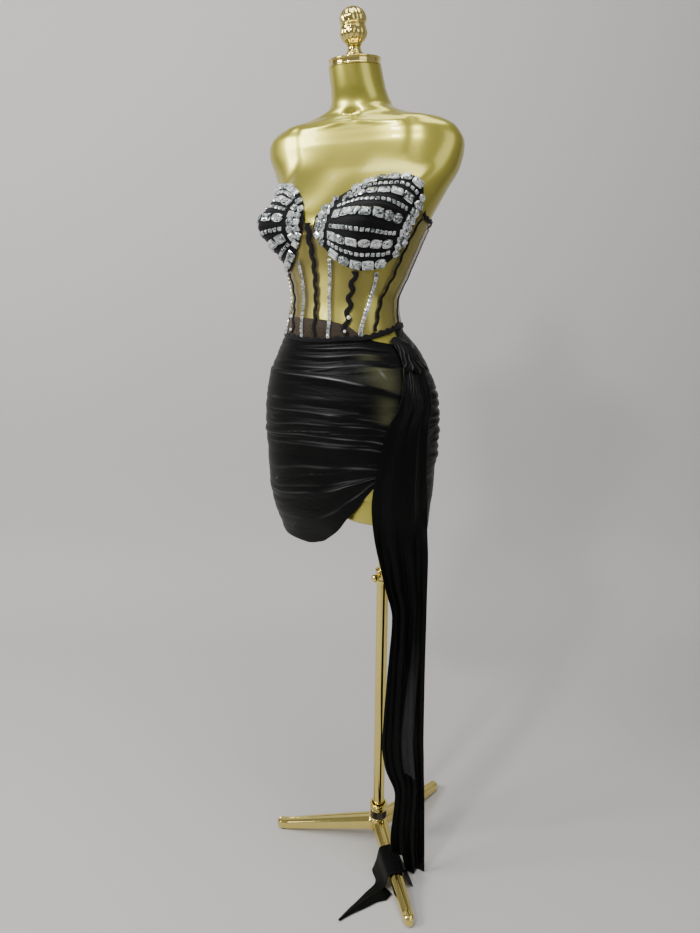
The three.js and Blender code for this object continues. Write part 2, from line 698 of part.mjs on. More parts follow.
// The train's tail: over the front leg and along the floor to its point
function trainTail() {
  const azimuth = degToRad(FEET.azimuths[1]);
  const along = new THREE.Vector3(Math.cos(azimuth), Math.sin(azimuth), 0);
  const aside = new THREE.Vector3(along.y, -along.x, 0);
  const rest = TAIL.thickness / 2 + SEAM;
  const cols = 6;
  const over = rowsOf(['aside', 'climb'], [[-36, 0], [-1.5, 0.38], [-1, 0.96], [0, 1], [1, 0.96], [1.5, 0.38], [34, 0]]);
  const crossing = over.map((row) => Array.from({ length: cols }, (_, j) => {
    const reach = lerp(TAIL.from, TAIL.to, j / (cols - 1));
    const half = legHalf(reach) + TAIL.clearance + TAIL.thickness;
    const side = Math.abs(row.aside) > 2 ? row.aside : row.aside * half;
    const high = legTop(reach) + TAIL.clearance + TAIL.thickness / 2;
    return new THREE.Vector3(POLE.x, POLE.y, lerp(rest, high, row.climb))
      .addScaledVector(along, reach).addScaledVector(aside, side);
  }));
  const floor = TAIL_FLOOR.map(({ nearX, nearY, farX, farY, high }) => Array.from({ length: cols }, (_, j) => {
    const u = j / (cols - 1);
    const ridge = Math.sin(Math.PI * u) * high;
    return new THREE.Vector3(lerp(nearX, farX, u), lerp(nearY, farY, u), rest + ridge);
  }));
  return sheet([...crossing, ...floor], TAIL.thickness);
}
add('train_tail', trainTail(), finish.skirt);

// Corset: eight mesh panels between the boning lines

const MIDRIFF = 1200;
const LINES = [() => 0, SEAMS.front, SEAMS.side, SEAMS.back, () => 180];
const PANELS = ['front', 'side_front', 'side', 'back'];

function panel(index, side) {
  const rows = 12;
  const cols = index === 3 ? 8 : 5;
  const level = 7 / (rows - 1);
  const angleAt = (u, z) => lerp(LINES[index](z) + ARC, LINES[index + 1](z) - ARC, u);
  const edgeZ = (u, edge, start) => {
    let z = start;
    for (let pass = 0; pass < 12; pass += 1) z = edge(angleAt(u, z));
    return z;
  };
  const place = (i, j) => {
    const u = j / (cols - 1);
    const v = i / (rows - 1);
    const z = v < level
      ? lerp(edgeZ(u, CORSET.hem, 1100), MIDRIFF, v / level)
      : lerp(MIDRIFF, edgeZ(u, CORSET.top, 1300), (v - level) / (1 - level));
    return { angle: side * angleAt(u, z), z };
  };
  return corsetWall(rows, cols, place, CORSET_GAP, CORSET_GAP + CLOTH);
}

function twist(z) {
  return TWIST.angle * smoothstep(z, TWIST.from, TWIST.to);
}

// Cloth of the corset: on the body, with the corset's own turn
function corsetWall(rows, cols, place, inner, outer) {
  const turnedPlace = (i, j) => {
    const { angle, z } = place(i, j);
    return { angle: angle + twist(z), z };
  };
  return bodyWall(rows, cols, turnedPlace, inner, outer);
}

// A wavy tape over a boning line
function tape(line, side, low, high) {
  const rows = 17;
  const wave = { length: 25, height: 1.4 };
  const place = (i, j) => {
    let z = lerp(low(line(1110)), high(line(1290)), i / (rows - 1));
    const centre = line(z);
    const reach = onBody(centre, z).setZ(0).length();
    const shift = wave.height * Math.sin((2 * Math.PI * z) / wave.length) + (j - 0.5) * TAPE_WIDTH;
    return { angle: side * (centre + THREE.MathUtils.radToDeg(shift / reach)), z };
  };
  return corsetWall(rows, 2, place, TRIM_GAP, TRIM_GAP + TRIM);
}

const aboveHem = (angle) => CORSET.hem(angle) + 8;
const underCup = (angle) => CORSET.top(angle) - 7;
const underBinding = (angle) => CORSET.top(angle) - 12;

for (const [name, side] of [['left', 1], ['right', -1]]) {
  PANELS.forEach((piece, index) => add(`${piece}_${name}`, panel(index, side), finish.mesh));
  add(`tape_front_${name}`, tape(SEAMS.front, side, aboveHem, underCup), finish.trim);
  add(`tape_side_${name}`, tape(SEAMS.side, side, aboveHem, underBinding), finish.trim);
  add(`tape_back_${name}`, tape(SEAMS.back, side, aboveHem, underBinding), finish.trim);
}
add('tape_centre_front', tape(() => 0, 1, aboveHem, () => 1298), finish.trim);

// Bindings round the hem and over the top edge of the back, and the hook tape that closes it

function band(from, to, cols, low, high) {
  const place = (i, j) => {
    const angle = lerp(from, to, j / (cols - 1));
    const round = Math.abs(angle > 180 ? 360 - angle : angle);
    return { angle, z: lerp(low(round), high(round), i) };
  };
  return corsetWall(2, cols, place, TRIM_GAP, TRIM_GAP + TRIM);
}

add('hem_binding', band(-175, 175, 39, (a) => CORSET.hem(a) - 3, (a) => CORSET.hem(a) + 6.5), finish.trim);
add('top_binding_left', band(83.5, 175, 15, (a) => CORSET.top(a) - 6, (a) => CORSET.top(a) + 1.5), finish.trim);
add('top_binding_right', band(-175, -83.5, 15, (a) => CORSET.top(a) - 6, (a) => CORSET.top(a) + 1.5), finish.trim);

function hookTape() {
  const rows = 12;
  const place = (i, j) => ({ angle: lerp(175.6, 184.4, j / 2), z: lerp(1115, 1293, i / (rows - 1)) });
  return corsetWall(rows, 3, place, TRIM_GAP, TRIM_GAP + TRIM);
}
add('back_hook_tape', hookTape(), finish.trim);

// Cups: a moulded shell whose rows of stones stand out between bands of cloth

function cup(side) {
  const cols = 11;
  const edge = 0.012;
  const levels = [{ t: 0, rise: 0 }];
  STONE_ROWS.forEach(({ from, to, rise }, k) => {
    const gapWidth = k > 0 ? from - STONE_ROWS[k - 1].to : 0;
    if (gapWidth > 0.025) levels.push({ t: from - gapWidth / 2, rise: 0.4 });
    levels.push({ t: from + edge, rise });
    levels.push({ t: to - edge, rise });
  });
  levels.push({ t: 1, rise: 0 });
  const gap = 4.6;
  const shell = 2.2;
  const layer = (out) => grid(levels.length, cols, (i, j) => {
    const s = j / (cols - 1);
    const { t, rise } = levels[i];
    const angle = lerp(CUP.lowAngle(s), CUP.highAngle(s), t);
    const z = lerp(CUP.lowZ(s), CUP.highZ(s), t);
    const crown = 2 * Math.sin(Math.PI * s) * Math.sin(Math.PI * t);
    const ends = s === 0 || s === 1 ? 0 : rise;
    return onBody(side * angle + twist(z), z, gap + crown + out * (shell + ends));
  });
  return wall(layer(1), layer(0));
}
add('cup_left', cup(1), finish.stones);
add('cup_right', cup(-1), finish.stones);

// The origin is on the floor, under the middle of the whole
part.updateMatrixWorld(true);
const extent = new THREE.Box3().setFromObject(part, true);
const middle = extent.getCenter(new THREE.Vector3());
part.position.set(-middle.x, -middle.y, -extent.min.z);
part.updateMatrixWorld(true);

export default part;
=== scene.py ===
# %% [markdown]
# # A stone-covered corset and a ruched wrap skirt on a dress form
#
# This lesson dresses a finished set of solids. The solids come from a CAD program and settle every
# size. Here each one is either given a real finish or is stood for by a finer surface of the same form.
# Nearly everything on this object follows the form's body, so one function that gives a point of that
# body, at an angle round it and at a height, is used for the form, the cloth, the tapes and the stones.

# %% Load the frame
import math

import bmesh
import bpy
import numpy as np
from mathutils import Matrix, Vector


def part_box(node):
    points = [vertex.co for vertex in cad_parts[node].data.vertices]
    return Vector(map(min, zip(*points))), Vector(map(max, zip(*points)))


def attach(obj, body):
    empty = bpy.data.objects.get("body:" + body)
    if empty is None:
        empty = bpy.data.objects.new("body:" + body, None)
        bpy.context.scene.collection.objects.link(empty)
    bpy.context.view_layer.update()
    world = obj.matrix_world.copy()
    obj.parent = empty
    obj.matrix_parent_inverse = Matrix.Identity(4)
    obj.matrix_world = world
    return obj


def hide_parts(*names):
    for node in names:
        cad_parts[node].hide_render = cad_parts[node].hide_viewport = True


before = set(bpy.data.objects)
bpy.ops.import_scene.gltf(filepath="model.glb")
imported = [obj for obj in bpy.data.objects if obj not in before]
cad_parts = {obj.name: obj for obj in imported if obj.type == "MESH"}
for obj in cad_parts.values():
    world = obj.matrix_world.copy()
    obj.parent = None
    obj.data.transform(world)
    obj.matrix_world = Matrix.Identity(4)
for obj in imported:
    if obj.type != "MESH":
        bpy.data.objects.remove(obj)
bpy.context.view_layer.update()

# %% [markdown]
# ## Sizes and the place of the form
#
# All tables are in millimetres, measured from the form's own upright axis, as a cutter would note
# them. The solids were shifted so that their origin is under the middle of the whole. The pole is the
# piece whose place in both systems is known, so the shift is read from its box.

# %% Shift from the form's axis to the frame
MM = 0.001
POLE_X, POLE_Y = 86.0, 9.0
low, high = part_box("pole_lower")
SHIFT = np.array([(low.x + high.x) / 2 - POLE_X * MM, (low.y + high.y) / 2 - POLE_Y * MM, 0.0])
print("form's axis stands at", SHIFT.round(4))

# %% [markdown]
# ## Smooth curves through short tables
#
# A table gives a size at a few heights or angles. A monotone cubic passes through every entry and
# never swings past one, so a waist doesn't bulge between two rows of the table. It is worked out for
# a whole array of heights in one call.


# %% Curves and easing
def curve_through(xs, ys):
    """The monotone cubic through (xs, ys): an inner slope is the harmonic mean of its neighbours, or 0 at a peak."""
    xs, ys = np.asarray(xs, float), np.asarray(ys, float)
    step = np.diff(ys) / np.diff(xs)
    product = step[:-1] * step[1:]
    total = np.where(product > 0, step[:-1] + step[1:], 1.0)
    tangent = np.concatenate([step[:1], np.where(product > 0, 2 * product / total, 0.0), step[-1:]])

    def read(x):
        at = np.clip(x, xs[0], xs[-1])
        k = np.clip(np.searchsorted(xs, at, side="right") - 1, 0, len(xs) - 2)
        width = xs[k + 1] - xs[k]
        t = (at - xs[k]) / width
        rest = 1 - t
        start = ys[k] * (1 + 2 * t) * rest**2 + width * tangent[k] * t * rest**2
        return start + ys[k + 1] * t**2 * (3 - 2 * t) - width * tangent[k + 1] * t**2 * rest

    return read


def table(columns, rows):
    """Named curves: each column after the first, read at a value of the first."""
    rows = np.asarray(rows, float)
    return {name: curve_through(rows[:, 0], rows[:, k + 1]) for k, name in enumerate(columns[1:])}


def ease(x, start, end):
    """0 before start, 1 after end, and the smooth step 3t^2 - 2t^3 between them."""
    t = np.clip((np.asarray(x, float) - start) / (end - start), 0, 1)
    return t * t * (3 - 2 * t)


def between(a, b, t):
    return a + (b - a) * t


def window(x, start, end, soft):
    """1 between start and end and 0 outside, with edges as soft as asked."""
    return ease(x, start - soft, start + soft) * (1 - ease(x, end - soft, end + soft))


def grid(rows, cols):
    """Two arrays of rows by cols that run from 0 to 1: one down the rows, and one across the columns."""
    return np.meshgrid(np.linspace(0, 1, rows), np.linspace(0, 1, cols), indexing="ij")


SIDES = (("left", 1), ("right", -1))
print("half way through an ease:", float(ease(0.5, 0, 1)))

# %% [markdown]
# ## The body
#
# A dress form is smooth, so a section at any height can be a superellipse: its half width, the depth
# of its front and back, and a power that squares its corners. Two soft swells are added for the bust,
# and the upper sections turn a little, because this form stands with its chest turned to its left.

# %% The form's sections
NECK_TOP = 1575.0
CROTCH = 812.0
THIGH_BOTTOM = 757.5
NECK_LEAN = math.radians(8)
NECK_TURN = math.radians(14)
BUST_ANGLE, BUST_HEIGHT, BUST_SPREAD, BUST_ABOVE, BUST_BELOW, BUST_DEPTH = 35, 1294, 24, 58, 46, 54
SECTIONS = table(["z", "half", "front", "back", "power", "shift_x", "shift_y", "turn"], [
    [680, 160, 82, 94, 2.3, 0, 5, 0], [700, 168, 87, 99, 2.3, 0, 4, 0],
    [760, 174, 95, 108, 2.35, 0, 2, 0], [820, 177, 102, 118, 2.4, 0, 0, 0],
    [890, 180, 106, 124, 2.4, 0, 0, 0], [950, 182, 107, 124, 2.35, 0, 0, 0],
    [1010, 176, 103, 112, 2.3, 0, 0, 0], [1070, 150, 94, 92, 2.2, 0, 0, 0],
    [1120, 115, 85, 78, 2.1, 0, -10, 0], [1165, 105, 81, 76, 2.1, 0, -8, 0],
    [1210, 120, 86, 78, 2.1, 0, 0, 0], [1260, 135, 96, 84, 2.1, 0, 12, 1],
    [1310, 150, 104, 84, 2.2, 0, 24, 4], [1360, 167, 92, 88, 2.2, 0, 38, 9],
    [1400, 183, 75, 86, 2.3, 0, 46, 13], [1440, 193, 58, 78, 2.4, -2, 42, 14],
    [1462, 184, 50, 68, 2.4, -2, 36, 14], [1480, 156, 45, 60, 2.2, -3, 34, 14],
    [1492, 104, 46, 55, 2.0, -4, 38, 14], [1510, 61, 48, 52, 2.0, -5, 42, 14],
    [1540, 51, 47, 49, 2.0, -6, 34, 14], [1575, 48, 46, 46, 2.0, -8, 26, 14],
])


def on_body(angle, z, out=0.0):
    """The point at an angle round the front, a height, and a distance out from the form.

    x = half * sin^(2/power), y = -depth * cos^(2/power), plus the two swells of the bust, scaled out
    by the distance, then turned by the section's turn."""
    angle, z, out = np.broadcast_arrays(np.asarray(angle, float), np.asarray(z, float), np.asarray(out, float))
    a = np.radians(angle)
    sine, cosine = np.sin(a), np.cos(a)
    power = 2 / SECTIONS["power"](z)
    depth = np.where(cosine > 0, SECTIONS["front"](z), SECTIONS["back"](z))
    x = SECTIONS["half"](z) * np.sign(sine) * np.abs(sine) ** power
    y = -depth * np.sign(cosine) * np.abs(cosine) ** power
    spread = np.where(z > BUST_HEIGHT, BUST_ABOVE, BUST_BELOW)
    for side in (-1, 1):
        away = (angle - side * BUST_ANGLE + 180) % 360 - 180
        swell = BUST_DEPTH * np.exp(-((away / BUST_SPREAD) ** 2) - ((z - BUST_HEIGHT) / spread) ** 2)
        facing = math.radians(side * BUST_ANGLE * 0.6)
        x = x + swell * math.sin(facing)
        y = y - swell * math.cos(facing)
    stretch = 1 + out / np.hypot(x, y)
    x, y = x * stretch, y * stretch
    turn = np.radians(SECTIONS["turn"](z))
    lean = ease(z, 1500, NECK_TOP) * math.tan(NECK_LEAN)
    return np.stack([
        SECTIONS["shift_x"](z) + x * np.cos(turn) - y * np.sin(turn),
        SECTIONS["shift_y"](z) + x * np.sin(turn) + y * np.cos(turn),
        z + lean * y,
    ], -1)


print("waist front at", on_body(0, 1140).round(1), "mm")

# %% [markdown]
# ## From arrays to meshes
#
# A surface is a grid of points, rows by columns, and its faces are the grid's squares. The order of
# a square's corners decides which way it faces, so one switch turns a grid over. Thin cloth gets its
# thickness from a Solidify modifier. Turned and lofted pieces are closed, so their doubled points are
# merged and their faces are then made to point outwards.


# %% Mesh helpers
def squares(rows, cols, over=False, wrap=False):
    """The grid's faces as corner numbers, turned over or wrapped round the columns if asked."""
    i, j = np.meshgrid(np.arange(rows - 1), np.arange(cols if wrap else cols - 1), indexing="ij")
    k = (j + 1) % cols
    faces = np.stack([i * cols + j, i * cols + k, (i + 1) * cols + k, (i + 1) * cols + j], -1).reshape(-1, 4)
    return faces[:, ::-1] if over else faces


def make_piece(name, points, faces, finish, stands_for=(), cloth=None, facts=None, sharp=None, whole=False):
    """A mesh object from points in millimetres. cloth is a flat map in metres, facts are values at points or faces."""
    mesh = bpy.data.meshes.new(name)
    mesh.from_pydata((points.reshape(-1, 3) * MM + SHIFT).tolist(), [], faces.tolist())
    if cloth is not None:
        corners = np.empty(len(mesh.loops), np.int32)
        mesh.loops.foreach_get("vertex_index", corners)
        mesh.uv_layers.new(name="cloth").data.foreach_set("uv", cloth.reshape(-1, 2)[corners].ravel())
    for key, values in (facts or {}).items():
        domain = "FACE" if np.size(values) == len(faces) else "POINT"
        mesh.attributes.new(key, "FLOAT", domain).data.foreach_set("value", np.ravel(values).astype(np.float32))
    if whole:
        shape = bmesh.new()
        shape.from_mesh(mesh)
        bmesh.ops.remove_doubles(shape, verts=shape.verts, dist=2e-6)
        bmesh.ops.recalc_face_normals(shape, faces=shape.faces)
        shape.to_mesh(mesh)
        shape.free()
    if sharp != 0:
        mesh.shade_smooth()
    if sharp:
        mesh.set_sharp_from_angle(angle=math.radians(sharp))
    piece = bpy.data.objects.new(name, mesh)
    bpy.context.scene.collection.objects.link(piece)
    mesh.materials.append(finish)
    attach(piece, "root")
    if stands_for:
        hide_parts(*stands_for)
    return piece


def steps_along(points, axis):
    """Distances from the first row or column to each next one, added up along the surface."""
    lengths = np.linalg.norm(np.diff(points, axis=axis), axis=-1)
    start = np.zeros_like(np.take(lengths, [0], axis))
    return np.concatenate([start, np.cumsum(lengths, axis)], axis)


def flat_map(points):
    """The cloth's own flat coordinates in metres: arc lengths across and along the surface."""
    return np.stack([steps_along(points, 1), steps_along(points, 0)], -1) * MM


def cloth_piece(name, points, finish, stands_for, thickness=0.8, over=False, facts=None):
    """A sheet of cloth: the grid is its outer face, and Solidify adds its thickness inwards.

    The width of its middling row and the length of its longest column are worked out but not kept."""
    rows, cols = points.shape[:2]
    piece = make_piece(name, points, squares(rows, cols, over), finish, stands_for, flat_map(points), facts)
    wall = piece.modifiers.new("thickness", "SOLIDIFY")
    wall.thickness = thickness * MM
    wall.offset = -1
    width = float(np.median(steps_along(points, 1)[:, -1]) * MM)
    length = float(steps_along(points, 0)[-1].max() * MM)
    return piece


def turned(profile, sides=96):
    """A profile of radius and height pairs carried round the upright axis."""
    profile = np.asarray(profile, float)
    a = np.linspace(0, 2 * np.pi, sides, endpoint=False)
    ring = np.stack([np.cos(a), np.sin(a)], -1)
    flat = profile[:, None, :1] * ring
    return np.concatenate([flat, np.broadcast_to(profile[:, None, 1:], (len(profile), sides, 1))], -1)


def eased_corners(profile, radius, steps=4):
    """A profile with each inner corner cut back by the radius and bridged by a quadratic curve."""
    profile = [np.asarray(p, float) for p in profile]
    made = [profile[0]]
    for before, corner, after in zip(profile, profile[1:], profile[2:]):
        reach = [min(radius, np.linalg.norm(end - corner) * 0.45) for end in (before, after)]
        a = corner + (before - corner) / np.linalg.norm(before - corner) * reach[0]
        b = corner + (after - corner) / np.linalg.norm(after - corner) * reach[1]
        for t in np.linspace(0, 1, steps + 1):
            made.append(a * (1 - t) ** 2 + corner * 2 * t * (1 - t) + b * t * t)
    made.append(profile[-1])
    return np.array(made)


def rough_wave(seed, *coordinates, octaves=4):
    """A gentle uneven field from -1 to 1: sines of the coordinates at rising rates with seeded phases."""
    random = np.random.default_rng(seed)
    total = 0.0
    for k in range(octaves):
        phase = random.uniform(0, 2 * np.pi)
        rates = random.uniform(0.6, 1.4, len(coordinates)) * 1.7**k
        total = total + np.sin(sum(r * c for r, c in zip(rates, coordinates)) + phase) / (1 + k)
    return total / 2


print("helpers ready")

# %% [markdown]
# ## The camera
#
# The camera comes before the pieces, so that a first look can be had at any time. It stands where the
# photograph was taken: ahead of the form and to its left, at chest height, looking slightly down. It is
# put there with a matrix whose columns are its right, its up and its backward direction.

# %% Camera at the photograph's place
AZIMUTH, PITCH, ROLL = math.radians(38), math.radians(13.1), math.radians(0.4)
EYE = np.array([848.1, -1076.3, 1160.0])
FOCAL_PIXELS, LONG_SIDE_PIXELS, SENSOR = 700.0, 933.0, 36.0

level = np.array([-math.sin(AZIMUTH), math.cos(AZIMUTH), 0.0])
side = np.array([math.cos(AZIMUTH), math.sin(AZIMUTH), 0.0])
upright = np.array([0.0, 0.0, 1.0])
forward = level * math.cos(PITCH) - upright * math.sin(PITCH)
raised = level * math.sin(PITCH) + upright * math.cos(PITCH)
to_right = side * math.cos(ROLL) + raised * math.sin(ROLL)
to_top = -side * math.sin(ROLL) + raised * math.cos(ROLL)

lens = bpy.data.cameras.new("camera")
lens.sensor_width = SENSOR
lens.lens = FOCAL_PIXELS / LONG_SIDE_PIXELS * SENSOR
camera = bpy.data.objects.new("camera", lens)
bpy.context.scene.collection.objects.link(camera)
eye = EYE * MM + SHIFT
camera.matrix_world = Matrix([[*row, eye[k]] for k, row in enumerate(np.stack([to_right, to_top, -forward], 1))]
                             + [[0, 0, 0, 1]])
bpy.context.scene.camera = camera
print("lens", round(lens.lens, 2), "mm")

# %% [markdown]
# ## Finishes
#
# Each finish is a node material. A size or colour that is the same everywhere is set on the shader
# itself. What changes over the surface comes from small node groups that several finishes share:
# a cloud of soft variation, fine creases that run one way, and the grid of a net or a knit. A group
# gives only values, which the finish then feeds to its colour, its roughness or its bump.


# %% Node helpers and shared groups
def new_finish(name, **settings):
    """A material with its shader's own sockets set, together with its node tree and its shader."""
    finish = bpy.data.materials.new(name)
    finish.use_nodes = True
    tree = finish.node_tree
    shader = tree.nodes["Principled BSDF"]
    for key, value in settings.items():
        shader.inputs[key.replace("_", " ")].default_value = value
    return finish, tree, shader


def add_node(tree, kind, settings=None, **wires):
    """A node of a kind with its settings, its input values, and the sockets that feed it."""
    node = tree.nodes.new(kind)
    for key, value in (settings or {}).items():
        setattr(node, key, value)
    for key, value in wires.items():
        place = int(key[1:]) if key[0] == "_" and key[1:].isdigit() else key.replace("_", " ")
        if isinstance(value, bpy.types.NodeSocket):
            tree.links.new(value, node.inputs[place])
        else:
            node.inputs[place].default_value = value
    return node


def new_group(name, inputs, outputs):
    """An empty group: inputs and outputs are name to kind and, for an input, its usual value."""
    group = bpy.data.node_groups.new(name, "ShaderNodeTree")
    for key, (kind, value) in inputs.items():
        socket = group.interface.new_socket(key, in_out="INPUT", socket_type=kind)
        if value is not None:
            socket.default_value = value
    for key in outputs:
        group.interface.new_socket(key, in_out="OUTPUT", socket_type="NodeSocketFloat")
    return group, group.nodes.new("NodeGroupInput"), group.nodes.new("NodeGroupOutput")


def use_group(tree, group, **wires):
    return add_node(tree, "ShaderNodeGroup", {"node_tree": group}, **wires)


def maths(tree, operation, a, b=0.0, clamp=False):
    return add_node(tree, "ShaderNodeMath", {"operation": operation, "use_clamp": clamp}, _0=a, _1=b).outputs[0]


def mixed_colour(tree, factor, a, b):
    """Colour a where the factor is 0 and b where it is 1."""
    return add_node(tree, "ShaderNodeMix", {"data_type": "RGBA"}, _0=factor, _6=a, _7=b).outputs[2]


def remapped(tree, value, low, high):
    """A value from 0 to 1 stretched to run from low to high."""
    return add_node(tree, "ShaderNodeMapRange", None, Value=value, To_Min=low, To_Max=high).outputs[0]


FLOAT, VECTOR = "NodeSocketFloat", "NodeSocketVector"

# Clouds: two sizes of noise added, for colour that drifts and for polish that isn't even
clouds, given, made = new_group("clouds", {"Vector": (VECTOR, None), "Scale": (FLOAT, 20.0)}, ["Value"])
broad = add_node(clouds, "ShaderNodeTexNoise", None, Vector=given.outputs["Vector"], Scale=given.outputs["Scale"])
finer_scale = maths(clouds, "MULTIPLY", given.outputs["Scale"], 4.3)
finer = add_node(clouds, "ShaderNodeTexNoise", None, Vector=given.outputs["Vector"], Scale=finer_scale)
shares = [maths(clouds, "MULTIPLY", noise.outputs[0], share) for noise, share in ((broad, 0.65), (finer, 0.35))]
both = maths(clouds, "ADD", *shares)
clouds.links.new(both, made.inputs["Value"])

# Threads: a square grid of rounded threads on the cloth's flat map, and a mask of where thread is
threads, given, made = new_group(
    "threads", {"Vector": (VECTOR, None), "Count": (FLOAT, 800.0), "Width": (FLOAT, 0.3)}, ["Height", "Mask"])
placed = add_node(threads, "ShaderNodeVectorMath", {"operation": "SCALE"}, _0=given.outputs["Vector"],
                  Scale=given.outputs["Count"]).outputs[0]
axes = add_node(threads, "ShaderNodeSeparateXYZ", None, _0=placed)
strands = [maths(threads, "PINGPONG", axes.outputs[k], 0.5) for k in (0, 1)]
nearest = maths(threads, "MINIMUM", *strands)
height = maths(threads, "SUBTRACT", 1.0, maths(threads, "DIVIDE", nearest, given.outputs["Width"]), clamp=True)
threads.links.new(height, made.inputs["Height"])
threads.links.new(maths(threads, "LESS_THAN", nearest, given.outputs["Width"]), made.inputs["Mask"])

# Creases: noise squeezed one way on the flat map, so that it draws long fine lines
creases, given, made = new_group(
    "creases", {"Vector": (VECTOR, None), "Along": (FLOAT, 6.0), "Across": (FLOAT, 90.0)}, ["Height"])
stretch = add_node(creases, "ShaderNodeCombineXYZ", None, X=given.outputs["Along"], Y=given.outputs["Across"], Z=1.0)
drawn = add_node(creases, "ShaderNodeVectorMath", {"operation": "MULTIPLY"}, _0=given.outputs["Vector"],
                 _1=stretch.outputs[0])
lines = add_node(creases, "ShaderNodeTexNoise", None, Vector=drawn.outputs[0], Scale=1.0, Detail=4.0, Distortion=0.6)
creases.links.new(lines.outputs[0], made.inputs["Height"])
print("node groups:", [g.name for g in bpy.data.node_groups])

# %% [markdown]
# ### Lacquer and plated metal
#
# The form is a moulded shell sprayed with gold lacquer: fine metal flakes under a clear coat, so it is
# part metal, part paint, with a sharper gloss on top. The stand is plated steel, which is a mirror with
# a warm tint, and only its polish varies. The grip ring on the hub is the same steel, left dark.


# %% Hard finishes
def object_place(tree):
    return tree.nodes.new("ShaderNodeTexCoord").outputs["Object"]


def bumped(tree, shader, height, strength, distance=0.001):
    bump = add_node(tree, "ShaderNodeBump", None, Height=height, Strength=strength, Distance=distance)
    tree.links.new(bump.outputs[0], shader.inputs["Normal"])
    return bump


lacquer, tree, shader = new_finish("gold_lacquer", Coat_Roughness=0.05, Specular_IOR_Level=0.6)
place = object_place(tree)
drift = use_group(tree, clouds, Vector=place, Scale=9.0).outputs[0]
flakes = add_node(tree, "ShaderNodeTexVoronoi", None, Vector=place, Scale=1400.0)
tree.links.new(mixed_colour(tree, drift, (0.42, 0.37, 0.05, 1), (0.54, 0.49, 0.085, 1)), shader.inputs["Base Color"])
tree.links.new(remapped(tree, flakes.outputs["Distance"], 0.24, 0.37), shader.inputs["Roughness"])
shader.inputs["Metallic"].default_value = 0.8
shader.inputs["Coat Weight"].default_value = 0.5
bumped(tree, shader, flakes.outputs["Distance"], 0.04, 0.0004)


def plated(name, colour, low, high, scale):
    """Plated steel: a mirror of one tint, a little darker in places, whose polish drifts between two roughnesses, with
    a faint bump from the same drift.
    """
    finish, tree, shader = new_finish(name, Metallic=1.0)
    place = object_place(tree)
    drift = use_group(tree, clouds, Vector=place, Scale=scale).outputs[0]
    tree.links.new(remapped(tree, drift, low, high), shader.inputs["Roughness"])
    darker = tuple(c * 0.82 for c in colour[:3]) + (1,)
    tree.links.new(mixed_colour(tree, drift, darker, colour), shader.inputs["Base Color"])
    bumped(tree, shader, drift, 0.03, 0.0005)
    return finish


gold = plated("polished_gold", (0.84, 0.69, 0.22, 1), 0.04, 0.12, 60.0)
dark_steel = plated("dark_grip", (0.09, 0.075, 0.05, 1), 0.25, 0.5, 300.0)
silver = plated("silver_setting", (0.78, 0.78, 0.8, 1), 0.1, 0.3, 400.0)

rubber, tree, shader = new_finish("rubber", Roughness=0.85)
grain = use_group(tree, clouds, Vector=object_place(tree), Scale=500.0).outputs[0]
tree.links.new(mixed_colour(tree, grain, (0.012, 0.012, 0.012, 1), (0.03, 0.03, 0.028, 1)), shader.inputs["Base Color"])
bumped(tree, shader, grain, 0.3)
print("hard finishes:", [m.name for m in bpy.data.materials])

# %% [markdown]
# ### Cloth and stones
#
# The skirt is thin black jersey with a film of foil, so it is dark with long soft lights along each
# fold. Where a single layer is pulled tight over the gold form, the gold shows through as a dull olive:
# a value at each point, named sheer, says how much. A second value marks the tight ridges: there a
# grey painted highlight line is mixed into the colour, and the foil is made metallic. The net of the
# corset is mostly holes, so its finish lets light pass, and less of it where the net is seen at a
# slant. The tapes are velvet, which is dull seen straight on and a little brighter at its edges. Each
# facet of a stone has a value of its own that picks its colour from near black to near white: painted
# reflections, so that light and dark facets lie side by side.


# %% Soft finishes
def point_value(tree, name):
    return add_node(tree, "ShaderNodeAttribute", {"attribute_name": name}).outputs["Fac"]


def cloth_map(tree):
    return add_node(tree, "ShaderNodeUVMap", {"uv_map": "cloth"}).outputs[0]


def foil_jersey(name, through, along, across):
    """Black foil jersey. through is what shows where it is sheer, and along and across set its fine creases."""
    finish, tree, shader = new_finish(
        name, Sheen_Weight=0.015, Sheen_Roughness=0.4, Specular_IOR_Level=0.085, IOR=1.45)
    shader.inputs["Sheen Tint"].default_value = (0.75, 0.8, 0.75, 1)
    place = cloth_map(tree)
    folds = use_group(tree, creases, Vector=place, Along=along, Across=across).outputs[0]
    knit = use_group(tree, threads, Vector=place, Count=1100.0, Width=0.42)
    drift = use_group(tree, clouds, Vector=object_place(tree), Scale=14.0).outputs[0]
    crest_highlight = point_value(tree, "crest_highlight")
    black = mixed_colour(tree, drift, (0.0015, 0.0017, 0.0016, 1), (0.0045, 0.0052, 0.0046, 1))
    dark = mixed_colour(tree, point_value(tree, "sheer"), black, through)
    # Painted highlight: along the marked ridges a grey line is mixed into the black
    tree.links.new(mixed_colour(tree, crest_highlight, dark, (0.2, 0.21, 0.2, 1)), shader.inputs["Base Color"])
    tree.links.new(remapped(tree, drift, 0.3, 0.46), shader.inputs["Roughness"])
    tree.links.new(maths(tree, "MULTIPLY", crest_highlight, folds), shader.inputs["Metallic"])
    low_bump = add_node(tree, "ShaderNodeBump", None, Height=knit.outputs["Height"], Strength=0.12, Distance=0.0002)
    top_bump = add_node(tree, "ShaderNodeBump", None, Height=folds, Strength=0.4, Distance=0.0014,
                        Normal=low_bump.outputs[0])
    tree.links.new(top_bump.outputs[0], shader.inputs["Normal"])
    return finish, tree, shader


jersey, tree, shader = foil_jersey("foil_jersey", (0.082, 0.083, 0.042, 1), 10.0, 130.0)
train_jersey, tree, shader = foil_jersey("foil_jersey_hung", (0.02, 0.02, 0.021, 1), 90.0, 4.0)
solid_share = remapped(tree, point_value(tree, "sheer"), 1.0, 0.88)
tree.links.new(solid_share, shader.inputs["Alpha"])

